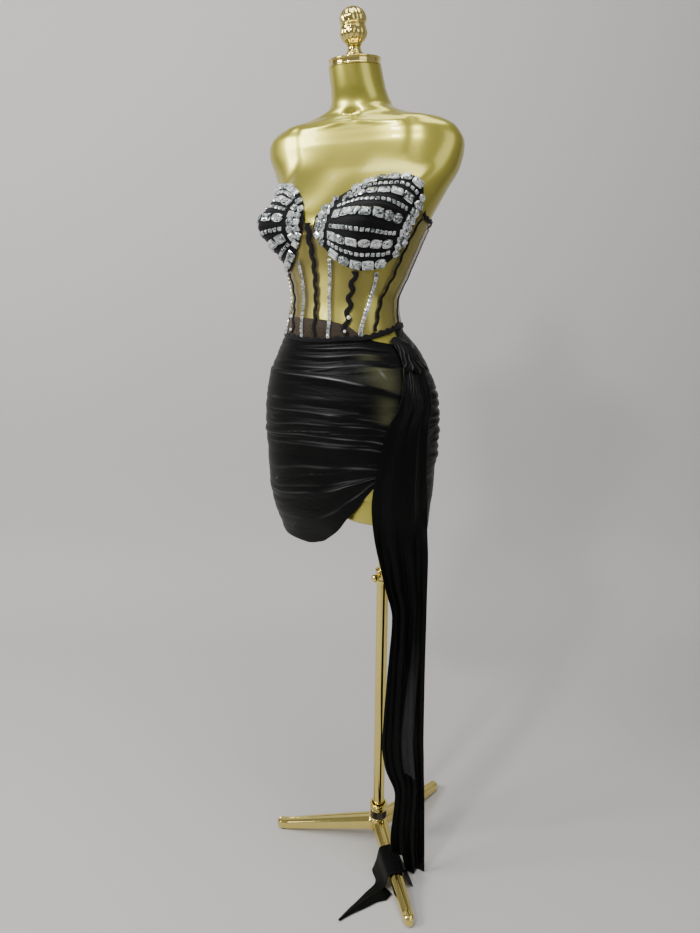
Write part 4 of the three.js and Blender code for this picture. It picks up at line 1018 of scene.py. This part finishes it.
# %% Train
TRAIN_ON_HIP = table(["z", "front", "rear"], [
    [740, 37, 93], [800, 38, 92], [840, 40, 90], [890, 44, 88], [940, 48, 87], [984, 58, 91], [1030, 64, 90],
    [1064, 69, 88], [1086, 72, 86]])
TRAIN_FREE = table(["z", "front_x", "front_y", "rear_x", "rear_y"], [
    [0, 171, -58, 212, -1], [99, 165, -62, 208, -2], [202, 171, -58, 204, -3], [264, 155, -70, 202, -4],
    [318, 149, -75, 200, -5], [455, 154, -71, 199, -6], [586, 160, -67, 198, -6], [646, 149, -75, 198, -6],
    [727, 136, -85, 197, -6], [860, 128, -91, 196, -6]])
PLEATS, HIP_DEPTH, HIP_GAP, FREE_DEPTH, OVER_LEG, TRAIN_BOTTOM, TRAIN_TOP = 3, 2.6, 8.2, 6.5, 56.0, 5.0, 1060.0


def crinkles(u, z):
    """Thin sharp wrinkles that fan down from the gather and die out, as a folded sine across them."""
    across = (u - 0.5) * (1 + (TRAIN_TOP - z) / 160) * 46 + 2.4 * rough_wave(109, u * 7, z * 0.05)
    strength = np.clip(0.5 + 0.6 * rough_wave(111, u * 6, z * 0.03), 0, 1)
    return (1 - np.abs(np.sin(across))) ** 2 * strength * ease(z, 915, 1030)


def train_points(u, z):
    """The train at a share u of its width and a height: pleats out from the body, easing to pleats on plan."""
    sway = 0.035 * rough_wave(101, z * 0.012, u * 2)
    wave = np.cos(2 * np.pi * PLEATS * (u + sway)) * (0.8 + 0.2 * rough_wave(103, z * 0.01, u * 6))
    wave = wave + 0.07 * np.cos(2 * np.pi * 11 * (u + sway) + 2 * rough_wave(107, z * 0.008, u * 3)) * ease(z, 0, 60)
    angle = between(TRAIN_ON_HIP["front"](z), TRAIN_ON_HIP["rear"](z), u)
    on_hip = on_body(angle, np.maximum(z, 740), HIP_GAP + HIP_DEPTH * wave + 1.5 * crinkles(u, z))
    on_hip[..., 2] = z
    front_x, front_y = TRAIN_FREE["front_x"](z), TRAIN_FREE["front_y"](z)
    wide_x, wide_y = TRAIN_FREE["rear_x"](z) - front_x, TRAIN_FREE["rear_y"](z) - front_y
    width = np.hypot(wide_x, wide_y)
    free = np.stack([
        front_x + u * wide_x + wide_y / width * FREE_DEPTH * wave,
        front_y + u * wide_y - wide_x / width * FREE_DEPTH * wave,
        z], -1)
    return between(on_hip, free, (1 - ease(z, 690, 800))[..., None])


v, u = grid(240, 140)
bottom = between(OVER_LEG, TRAIN_BOTTOM, ease(u, 0.3, 0.5))
z = between(TRAIN_TOP, bottom, v)
# One layer only, with a slanted lower edge, where the light behind shows through faintly
left_edge, right_edge = between(0.46, 0.58, (z - 235) / 205), between(0.76, 0.86, (z - 235) / 205)
slant = 50 * (u - 0.46)
single = window(u, left_edge, right_edge, 0.02) * ease(z, 238 - slant, 241 - slant) * (1 - ease(z, 380, 560))
# The crinkles also carry a painted highlight line
cloth_piece("train_hung", train_points(u, z), train_jersey, ["train"],
            thickness=0.9, over=True, facts={"sheer": single, "crest_highlight": crinkles(u, z) ** 3 * 0.9})

# %% [markdown]
# ### The train's tail
#
# The last of the train runs over the front leg of the stand and lies on the floor in a long point. It
# is one strip: first a bridge over the leg, given by how far to the leg's side it is and how high it
# has climbed, and then a flat run with a soft ridge along its middle. Its edge is turned up a little, as
# a rolled hem is.

# %% Tail
TAIL_FROM, TAIL_TO, TAIL_CLEAR, TAIL_THICK = 76.0, 138.0, 0.9, 1.4
BRIDGE = [(-36, 0), (-1.5, 0.38), (-1, 0.96), (0, 1), (1, 0.96), (1.5, 0.38), (34, 0)]
TAIL_FLOOR = np.array([  # near x and y, far x and y, ridge
    [147, -84, 194, -92, 3.4], [152, -98, 194, -108, 3.2], [150, -122, 183, -126, 2.8],
    [149, -150, 172, -153, 2.6], [147, -180, 159, -183, 2.4], [147, -206, 151, -208, 2.2]])


def tail(rows, cols):
    """Rows over the leg, then rows on the floor, and smooth curves through both along the strip."""
    u = np.linspace(0, 1, cols)
    rest = TAIL_THICK / 2 + SEAM
    reach = between(TAIL_FROM, TAIL_TO, u)
    half = leg_line(reach, LEG_ROOT_HALF, LEG_TIP_HALF) + TAIL_CLEAR + TAIL_THICK
    top = leg_line(reach, LEG_ROOT_TOP, LEG_TIP_TOP) + TAIL_CLEAR + TAIL_THICK / 2
    made = []
    for aside, climb in BRIDGE:
        x, y = polar(FEET_AZIMUTHS[1], reach, -(aside if abs(aside) > 2 else aside * half))
        made.append(np.stack([x, y, between(rest, top, climb)], -1))
    for near_x, near_y, far_x, far_y, ridge in TAIL_FLOOR:
        x, y = between(near_x, far_x, u), between(near_y, far_y, u)
        made.append(np.stack([x, y, rest + np.sin(np.pi * u) * ridge], -1))
    made = np.stack(made)
    along = np.linspace(0, len(made) - 1, rows)
    points = np.stack([[curve_through(np.arange(len(made)), made[:, c, k])(along) for c in range(cols)]
                       for k in range(3)], -1).transpose(1, 0, 2)
    v = along[:, None] / len(made)
    ruck = 0.9 * np.abs(np.sin(u * 9 + 2 * rough_wave(121, u * 2, v * 5))) * (1 - u) * u * 4
    points[..., 2] += ease(v, 0.55, 0.7) * ruck
    points[..., 2] += ease(v, 0.5, 0.6) * 1.4 * (np.exp(-u / 0.05) + np.exp(-(1 - u) / 0.05))
    return points


strip = tail(160, 50)
# A painted highlight: a thin bright line where the cloth folds over, just past the leg
strip_v, strip_u = grid(160, 50)
strip_highlight = np.exp(-(((strip_v - 0.6) / 0.006) ** 2)) * np.clip(0.4 + rough_wave(123, strip_u * 14), 0, 1)
cloth_piece("train_tail_floor", strip, train_jersey, ["train_tail"],
            thickness=0.8, facts={"sheer": np.zeros(strip.shape[:2]), "crest_highlight": strip_highlight})

# %% [markdown]
# ## The corset
#
# Eight panels of fine net are cut between the boning lines, and a wavy velvet tape covers each line.
# A panel's height is shared out in two steps, hem to midriff and midriff to top edge, so that the rows
# of neighbouring panels meet. The net's holes are a pattern on its flat map, because there are about
# ninety thousand of them. The tapes are real strips with rounded edges that stand out from the net.

# %% Net panels
CORSET_GAP, TRIM_GAP, MIDRIFF, LOW_SHARE, ARC = 3.0, 4.9, 1200.0, 0.636, 0.15
SEAMS = table(["z", "front", "side", "back"], [
    [1080, 24, 52, 86], [1106, 28, 58, 90], [1132, 32, 64, 96], [1158, 35, 70, 101], [1184, 36, 75, 106],
    [1218, 37, 79, 110], [1260, 38, 82, 112], [1320, 39, 87, 113]])
CORSET = table(["angle", "hem", "top"], [
    [0, 1094, 1302], [3, 1094, 1296], [8, 1094, 1267], [17, 1096, 1245], [28, 1098, 1229], [42, 1099, 1221],
    [59, 1105, 1225], [71, 1110, 1243], [77, 1112, 1265], [80, 1113, 1291], [83, 1115, 1317], [92, 1118, 1308],
    [120, 1120, 1301], [180, 1118, 1292]])
TWIST, TWIST_FROM, TWIST_TO = -4.5, 1130, 1290


def on_corset(angle, z, out):
    """A place of the corset, which sits turned a little to the wearer's right towards its top."""
    return on_body(angle + TWIST * ease(z, TWIST_FROM, TWIST_TO), z, out)


def middle_line(z):
    return np.zeros_like(np.asarray(z, float))


def back_line(z):
    return np.full_like(np.asarray(z, float), 180)


LINES = [middle_line, SEAMS["front"], SEAMS["side"], SEAMS["back"], back_line]


def panel_points(index, side, rows, cols, out):
    """A panel between two boning lines, from the hem to its top edge, at one distance out."""
    u = np.linspace(0, 1, cols)

    def angle_at(z):
        return between(LINES[index](z) + ARC, LINES[index + 1](z) - ARC, u)

    edges = []
    for edge, start in ((CORSET["hem"], 1100.0), (CORSET["top"], 1300.0)):
        z = np.full(cols, start)
        for _ in range(12):
            z = edge(angle_at(z))
        edges.append(z)
    v = np.linspace(0, 1, rows)[:, None]
    low_part = between(edges[0], MIDRIFF, np.minimum(v / LOW_SHARE, 1))
    z = np.where(v < LOW_SHARE, low_part, between(MIDRIFF, edges[1], (v - LOW_SHARE) / (1 - LOW_SHARE)))
    return on_corset(side * angle_at(z), z, out)


for name, side_sign in SIDES:
    for index, panel_name in enumerate(("front", "side_front", "side", "back")):
        points = panel_points(index, side_sign, 60, 40 if index == 3 else 24, CORSET_GAP + CLOTH)
        cloth_piece(f"net_{panel_name}_{name}", points, net, [f"{panel_name}_{name}"],
                    thickness=0.5, over=side_sign < 0)


# %% Velvet tapes and bindings
def rounded_strip(middle, across, out_of, widths, name, stands_for, thick=1.5):
    """A strip along a line of angles and heights. Its cross section is a low arch: out = thick * (1 - s^4)."""
    s = np.array([-1, -0.96, -0.8, -0.45, 0, 0.45, 0.8, 0.96, 1])
    angle, z = middle
    turn_angle, turn_z = across
    half = widths[:, None] / 2 * s
    reach = np.linalg.norm(on_body(angle, z)[:, :2], axis=-1)[:, None]
    angles = angle[:, None] + np.degrees(half * turn_angle[:, None] / reach)
    heights = z[:, None] + half * turn_z[:, None]
    points = on_corset(angles, heights, out_of + 0.35 + thick * (1 - s**4))
    return cloth_piece(name, points, velvet, stands_for, thickness=0.35,
                       over=bool(turn_angle[0] * (z[-1] - z[0]) < 0 or (turn_z[0] * (angle[-1] - angle[0])) > 0))


# Columns: seam, how far the tape ends below the top edge, its wave and its width
TAPES = [("front", 7, 2.8, 9.5), ("side", 12, 1.6, 7.5), ("back", 12, 1.6, 7.5)]
WAVE_LENGTH = 25


def tape(name, line, side, top, stands_for, wave, width):
    """A tape up a boning line whose middle waves along it and whose width swells at each bend."""
    z = np.linspace(float(CORSET["hem"](line(1110.0)) + 8), float(top), 180)
    centre = line(z)
    reach = np.linalg.norm(on_body(centre, z)[:, :2], axis=-1)
    bend = np.sin(2 * np.pi * z / WAVE_LENGTH + 0.6 * rough_wave(131, z * 0.02))
    angle = side * (centre + np.degrees(wave * bend / reach))
    widths = width * (1 + 0.14 * np.cos(4 * np.pi * z / WAVE_LENGTH))
    return rounded_strip((angle, z), (np.ones(180), np.zeros(180)), TRIM_GAP - 0.4, widths, name, [stands_for])


for name, side_sign in SIDES:
    for seam, short, wave, width in TAPES:
        line = SEAMS[seam]
        top = CORSET["top"](line(1290.0)) - short
        tape(f"velvet_{seam}_{name}", line, side_sign, top, f"tape_{seam}_{name}", wave, width)
tape("velvet_middle", middle_line, 1, 1298.0, "tape_centre_front", 0.9, 5.6)


def binding(name, start, end, edge, offset, width, scallop, stands_for, count):
    """A band round the body along an edge, whose width rises and falls in scallops."""
    angle = np.linspace(start, end, count)
    round_angle = np.abs((angle + 180) % 360 - 180)
    wave = np.sin(angle * np.pi / 4.5)
    z = edge(round_angle) + offset + scallop * 0.5 * wave
    return rounded_strip((angle, z), (np.zeros(count), np.ones(count)), TRIM_GAP - 0.2, width + scallop * wave, name,
                         [stands_for], thick=1.4)


binding("velvet_hem", -175, 175, CORSET["hem"], 1.75, 8.5, 1.2, "hem_binding", 700)
binding("velvet_top_left", 83.5, 175, CORSET["top"], -2.2, 7, 1.4, "top_binding_left", 260)
binding("velvet_top_right", -175, -83.5, CORSET["top"], -2.2, 7, 1.4, "top_binding_right", 260)

z = np.linspace(1115, 1293, 120)
rounded_strip((np.full(120, 180.0), z), (np.ones(120), np.zeros(120)), TRIM_GAP - 0.4, np.full(120, 15.5),
              "hook_tape", ["back_hook_tape"], thick=1.1)
print("corset done")

# %% [markdown]
# ## Cups and stones
#
# A cup is a moulded shell covered in velvet, and rows of stones are set on it that run from its inner
# corner to its outer end. A place on it is a share s along and a share t up, between two edge curves.
# Each stone is one of four small faceted meshes, stretched to its own size, moved to its place and
# turned so that it stands square on the cup. All of a cup's stones are then joined in one mesh.

# %% Cup shells
CUP = table(["s", "low_angle", "low_z", "high_angle", "high_z"], [
    [0.0, 3, 1288, 3, 1308], [0.12, 8, 1262, 9, 1338], [0.26, 17, 1240, 19, 1361], [0.4, 28, 1224, 30, 1375],
    [0.56, 42, 1216, 44, 1377], [0.72, 57, 1219, 58, 1366], [0.86, 70, 1236, 70, 1345], [0.94, 77, 1260, 75, 1327],
    [1.0, 80, 1286, 78, 1310]])
# Stone rows up the cup: where each starts and ends, and 1 for large stones or 0 for a chain of small ones
STONE_ROWS = [(0.0, 0.1, 1), (0.13, 0.19, 0), (0.22, 0.32, 1), (0.36, 0.43, 0), (0.51, 0.62, 1), (0.67, 0.73, 0),
              (0.75, 0.85, 1), (0.87, 0.91, 0), (0.93, 1.0, 1)]
CUP_GAP, CUP_SHELL = 4.6, 2.2


def on_cup(side, s, t, out):
    """A point of the cup: between its edge curves, on the body, with a crown of 2 mm at its middle."""
    s, t = np.broadcast_arrays(np.asarray(s, float), np.asarray(t, float))
    angle = between(CUP["low_angle"](s), CUP["high_angle"](s), t)
    z = between(CUP["low_z"](s), CUP["high_z"](s), t)
    crown = 2 * np.sin(np.pi * np.clip(s, 0, 1)) * np.sin(np.pi * np.clip(t, 0, 1))
    return on_corset(side * angle, z, CUP_GAP + crown + out)


def pillow(s, t):
    """The velvet swells between the stone rows: a low arch over each gap that is wider than a thread."""
    swell = np.zeros_like(t)
    for before, after in zip(STONE_ROWS, STONE_ROWS[1:]):
        x = np.clip((t - before[1]) / (after[0] - before[1]), 0, 1)
        swell = swell + 1.6 * np.sin(np.pi * x) ** 0.8 * min((after[0] - before[1]) / 0.06, 1)
    return swell * ease(s, 0.12, 0.3) * (1 - ease(s, 0.78, 0.92))


def cup_shell(side, name):
    s, t = np.meshgrid(np.linspace(0, 1, 70), np.linspace(0, 1, 110), indexing="xy")
    round_off = (1 - (2 * t - 1) ** 14) * (1 - (2 * s - 1) ** 20)
    outer = on_cup(side, s, t, (CUP_SHELL - 0.4) * round_off + pillow(s, t))
    inner = on_cup(side, s, t, np.zeros_like(s))
    points = np.concatenate([inner[::-1], outer, inner[-1:]])
    return make_piece(f"cup_shell_{name}", points, squares(len(points), 70, over=side < 0), velvet,
                      [f"cup_{name}"], sharp=60, whole=True)


for name, side_sign in SIDES:
    shell = cup_shell(side_sign, name)

# %% One stone, and many


def cut_stone(corners, squareness, table_share=0.58, girdle=0.34):
    """A faceted stone one unit wide, long and high: a base, a girdle, a crown edge and a flat table.

    Its outline is a superellipse, and the crown's corners stand half a step round from the girdle's, so
    the sides break into triangular facets."""
    a = np.arange(corners) * 2 * np.pi / corners

    def ring(size, height, turn):
        b = a + turn
        power = 2 / squareness
        x = np.sign(np.cos(b)) * np.abs(np.cos(b)) ** power
        y = np.sign(np.sin(b)) * np.abs(np.sin(b)) ** power
        return np.stack([x * size / 2, y * size / 2, np.full(corners, height)], -1)

    half_step = np.pi / corners
    points = np.concatenate([ring(0.8, 0, 0), ring(1, girdle, 0), ring(0.82, 0.72, half_step), ring(table_share, 1, 0),
                             [[0, 0, 1.0]]])
    k = np.arange(corners)
    n = (k + 1) % corners
    base, belt, crown, top = (level * corners + np.stack([k, n]) for level in range(4))
    apex = np.full(corners, 4 * corners)
    triangles = [
        (base[0], base[1], belt[1]), (base[0], belt[1], belt[0]), (belt[0], belt[1], crown[0]),
        (belt[1], crown[1], crown[0]), (crown[0], crown[1], top[1]), (crown[0], top[1], top[0]), (top[0], top[1], apex)]
    return points, np.concatenate([np.stack(corner_numbers, -1) for corner_numbers in triangles])


def frames_on(surface, s, t, step=0.004):
    """Places on a surface with their along, across and outward directions, from small steps in s and t."""
    place = surface(s, t)
    along = surface(s + step, t) - surface(s - step, t)
    across = surface(s, t + step) - surface(s, t - step)
    along = along / np.linalg.norm(along, axis=-1, keepdims=True)
    outward = np.cross(along, across)
    outward = outward / np.linalg.norm(outward, axis=-1, keepdims=True)
    centre = on_body(0, 1290) * [1, 1, 0] + [0, 80, 0]
    outward = outward * np.sign(np.sum(outward * (place * [1, 1, 0] - centre), -1, keepdims=True))
    return place, along, np.cross(outward, along), outward


def many(shape, placed, sizes, sink=0.0):
    """Copies of a small mesh: each point is place + x*along + y*across + z*outward, in the copy's own sizes."""
    points, faces = shape
    place, along, across, outward = placed
    local = points[None] * sizes[:, None, :]
    made = (place[:, None] + local[..., :1] * along[:, None] + local[..., 1:2] * across[:, None]
            + (local[..., 2:] - sink) * outward[:, None])
    numbers = faces[None] + (np.arange(len(place)) * len(points))[:, None, None]
    return made.reshape(-1, 3), numbers.reshape(-1, faces.shape[1])


def facet_sparks(count, faces_each, seed):
    """A value for each facet, for painted reflections: a drift for the whole stone plus a jump for each facet, so that
    some facets are painted bright and some dark.
    """
    random = np.random.default_rng(seed)
    stone = random.uniform(0.25, 0.75, (count, 1))
    return np.clip(stone + random.normal(0, 0.27, (count, faces_each)), 0, 1).ravel()


def even_places(surface, t, start, end, pitch):
    """Values of s that are one pitch apart along the surface, centred between start and end."""
    s = np.linspace(start, end, 300)
    length = steps_along(surface(s, np.full_like(s, t))[None], 1)[0]
    count = max(int(length[-1] // pitch), 1)
    margin = (length[-1] - (count - 1) * pitch) / 2
    return np.interp(margin + np.arange(count) * pitch, length, s)


print("stone of", len(cut_stone(12, 2.4)[1]), "facets")

# %% Stones of the cups
BAGUETTE, CUSHION, OVAL = cut_stone(8, 7.0, 0.5), cut_stone(12, 4.2, 0.55), cut_stone(14, 2.4, 0.55)
SMALL = cut_stone(8, 6.0)
LARGE_PITCH, CHAIN_PITCH, FILL = 22.0, 9.4, 13.0
INNER, OUTER = 0.2, 0.82  # between these the rows are apart, and past them stones fill the whole height


def row_places(surface, row):
    """A row's stones between the filled ends: their s, t, width and height in millimetres."""
    start, end, large = row
    middle = (start + end) / 2
    s = even_places(surface, middle, INNER, OUTER, LARGE_PITCH if large else CHAIN_PITCH)
    gaps = np.linalg.norm(np.diff(surface(s, np.full_like(s, middle)), axis=0), axis=-1)
    wide = np.minimum(np.append(gaps, gaps[-1]), np.insert(gaps, 0, gaps[0])) * (0.99 if large else 0.84)
    tall = np.linalg.norm(surface(s, np.full_like(s, end)) - surface(s, np.full_like(s, start)), axis=-1)
    return s, np.full_like(s, middle), wide, np.clip(tall * 1.2, 9, 17) if large else np.full_like(s, 7.8)


def filled_places(surface, start, end):
    """Upright columns of stones that share out the cup's height, from one s to another."""
    found = []
    for s in even_places(surface, 0.5, start, end, FILL):
        t = np.linspace(0, 1, 60)
        height = steps_along(surface(np.full(60, s), t)[:, None], 0)[-1, 0]
        count = max(int(round(height / FILL)), 1)
        for k in range(count):
            found.append((s, (k + 0.5) / count, FILL * 1.02, height / count * 1.02))
    return np.array(found).T


def cup_stones(side, name):
    """Every stone of a cup. Large ones are of three cuts, chosen at random from a fixed seed, and nearly touch."""
    def surface(s, t):
        return on_cup(side, s, t, CUP_SHELL - 0.4)

    random = np.random.default_rng(200 + side)
    spots = [row_places(surface, row) for row in STONE_ROWS]
    spots += [filled_places(surface, 0.015, INNER - 0.015), filled_places(surface, OUTER + 0.015, 0.985)]
    points, faces, sparks, total, count = [], [], [], 0, 0
    for k, (s, t, wide, tall) in enumerate(spots):
        small = k < len(STONE_ROWS) and not STONE_ROWS[k][2]
        sizes = np.stack([wide, tall, np.full(len(s), 3.0 if small else 4.6)], -1)
        cuts = np.full(len(s), 3) if small else random.choice([0, 0, 0, 1, 2], len(s))
        for kind, shape in enumerate((BAGUETTE, CUSHION, OVAL, SMALL)):
            chosen = cuts == kind
            if not chosen.any():
                continue
            made, numbers = many(shape, frames_on(surface, s[chosen], t[chosen]), sizes[chosen], sink=-0.2)
            points.append(made)
            faces.append(numbers + total)
            sparks.append(facet_sparks(int(chosen.sum()), len(shape[1]), 300 + 10 * k + kind + 50 * side))
            total += len(made)
        count += len(s)
    make_piece(f"cup_stones_{name}", np.concatenate(points), np.concatenate(faces), crystal, (), sharp=0,
               facts={"spark": np.concatenate(sparks)})
    print(f"cup {name}: {count} stones, {sum(len(f) for f in faces)} facets")


for name, side_sign in SIDES:
    cup_stones(side_sign, name)

# %% [markdown]
# ### Chains down the bodice
#
# Cup chain is a row of square stones, each in its own small metal cup. Two run down each side of the
# bodice, from the cup to the hem, along curves given by their angle at a few heights.

# %% Stone chains
CHAINS = {"inner": [(1096, 12), (1132, 15), (1184, 14.5), (1238, 14.5)],
          "outer": [(1098, 41), (1136, 50), (1158, 56), (1184, 59), (1218, 57)]}
STONE_PITCH = 7.7
tray = cut_stone(8, 6.0, table_share=0.96, girdle=0.6)


def chain(side, name, rows, seed):
    """Stones one pitch apart up a line on the bodice, and the metal cups under them."""
    line = curve_through(*zip(*rows))
    low_z, high_z = rows[0][0] + 2, rows[-1][0] - 2

    def surface(s, t):
        z = between(low_z, high_z, s)
        return on_corset(side * (line(z) + (t - 0.5) * 10), z, CORSET_GAP + CLOTH + 0.2)

    s = even_places(surface, 0.5, 0, 1, STONE_PITCH)
    placed = frames_on(surface, s, np.full_like(s, 0.5))
    made, faces = many(SMALL, placed, np.tile([7.0, 7.0, 3.2], (len(s), 1)), sink=-0.5)
    make_piece(f"chain_{name}_stones", made, faces, crystal, (), sharp=0,
               facts={"spark": facet_sparks(len(s), len(SMALL[1]), seed)})
    made, faces = many(tray, placed, np.tile([7.5, 7.5, 1.9], (len(s), 1)))
    make_piece(f"chain_{name}_settings", made, faces, silver, (), sharp=0)


for name, side_sign in SIDES:
    for k, (place_name, rows_of_chain) in enumerate(CHAINS.items()):
        chain(side_sign, f"{place_name}_{name}", rows_of_chain, 400 + 10 * k + side_sign)

# Two pearls on each front tape: angle, height and radius
PEARLS = np.array([[34, 1136, 3.6], [29, 1112, 2.6]])
ball_angle = np.linspace(-np.pi / 2, np.pi / 2, 14)
ball = turned(np.stack([np.cos(ball_angle), np.sin(ball_angle)], -1), 24)
for name, side_sign in SIDES:
    placed = frames_on(lambda s, t, side=side_sign: on_corset(side * s, t, TRIM_GAP + 3), *PEARLS[:, :2].T, 0.4)
    made, faces = many((ball.reshape(-1, 3), squares(14, 24, wrap=True)), placed, PEARLS[:, 2:] * np.ones(3))
    make_piece(f"pearls_{name}", made, faces, pearl, (), whole=True)
print("chains and pearls done")

# %% [markdown]
# ## Studio
#
# A pale floor that curves up into a pale backdrop, one large soft light ahead and to the camera's left,
# a weaker one on the right to open the shadows, and one above. They are large so that the gold and the
# foil show long soft lights, and one small light adds the bright spots that lacquer and stones show. The
# paper is clear on its rear side, so that the object can also be looked at from behind it.

# %% Floor, backdrop and lights
paper, tree, shader = new_finish("studio_paper", Roughness=0.8)
shader.inputs["Base Color"].default_value = (0.56, 0.545, 0.53, 1)
rear = add_node(tree, "ShaderNodeNewGeometry", None).outputs["Backfacing"]
clear = add_node(tree, "ShaderNodeBsdfTransparent", None)
one_sided = add_node(tree, "ShaderNodeMixShader", None, _0=rear, _1=shader.outputs[0], _2=clear.outputs[0])
tree.links.new(one_sided.outputs[0], tree.nodes["Material Output"].inputs["Surface"])
profile = np.array([
    [-9000, 0], [-400, 0], [600, 0], [900, 10], [1150, 90], [1300, 300], [1350, 700], [1360, 4200]], float)
reach_curve = rows_between(profile, 60)
across = np.linspace(-9000, 9000, 40)
ground = (reach_curve[:, None, :1] * level + across[None, :, None] * side
          + reach_curve[:, None, 1:] * upright + np.array([POLE_X, POLE_Y, 0]))
mesh = bpy.data.meshes.new("studio")
mesh.from_pydata((ground.reshape(-1, 3) * MM + SHIFT).tolist(), [], squares(60, 40).tolist())
mesh.shade_smooth()
studio = bpy.data.objects.new("studio", mesh)
bpy.context.scene.collection.objects.link(studio)
mesh.materials.append(paper)


def soft_light(name, place, aim, size, power, colour=(1, 1, 1)):
    """A rectangular area light at a place, in millimetres, turned so that it shines at another."""
    light = bpy.data.lights.new(name, "AREA")
    light.shape = "RECTANGLE"
    light.size, light.size_y = size
    light.energy = power
    light.color = colour
    lamp = bpy.data.objects.new(name, light)
    bpy.context.scene.collection.objects.link(lamp)
    start, end = np.array(place) * MM + SHIFT, np.array(aim) * MM + SHIFT
    back = (start - end) / np.linalg.norm(start - end)
    right = np.cross([0, 0, 1.0], back)
    right = right / np.linalg.norm(right)
    columns = np.stack([right, np.cross(back, right), back, start], 1)
    lamp.matrix_world = Matrix([*columns.tolist(), [0, 0, 0, 1]])


soft_light("key", (-1500, -2300, 2300), (0, 0, 1100), (1.0, 1.0), 72)
soft_light("fill", (2500, -700, 1700), (0, 0, 900), (1.4, 2.0), 14)
soft_light("top", (200, -400, 3300), (0, 0, 1200), (2.0, 1.2), 34)
soft_light("small", (300, -2300, 2500), (0, 0, 1200), (0.25, 0.25), 26)
world = bpy.data.worlds.new("studio_air")
world.use_nodes = True
world.node_tree.nodes["Background"].inputs["Color"].default_value = (0.8, 0.8, 0.82, 1)
world.node_tree.nodes["Background"].inputs["Strength"].default_value = 0.36
bpy.context.scene.world = world
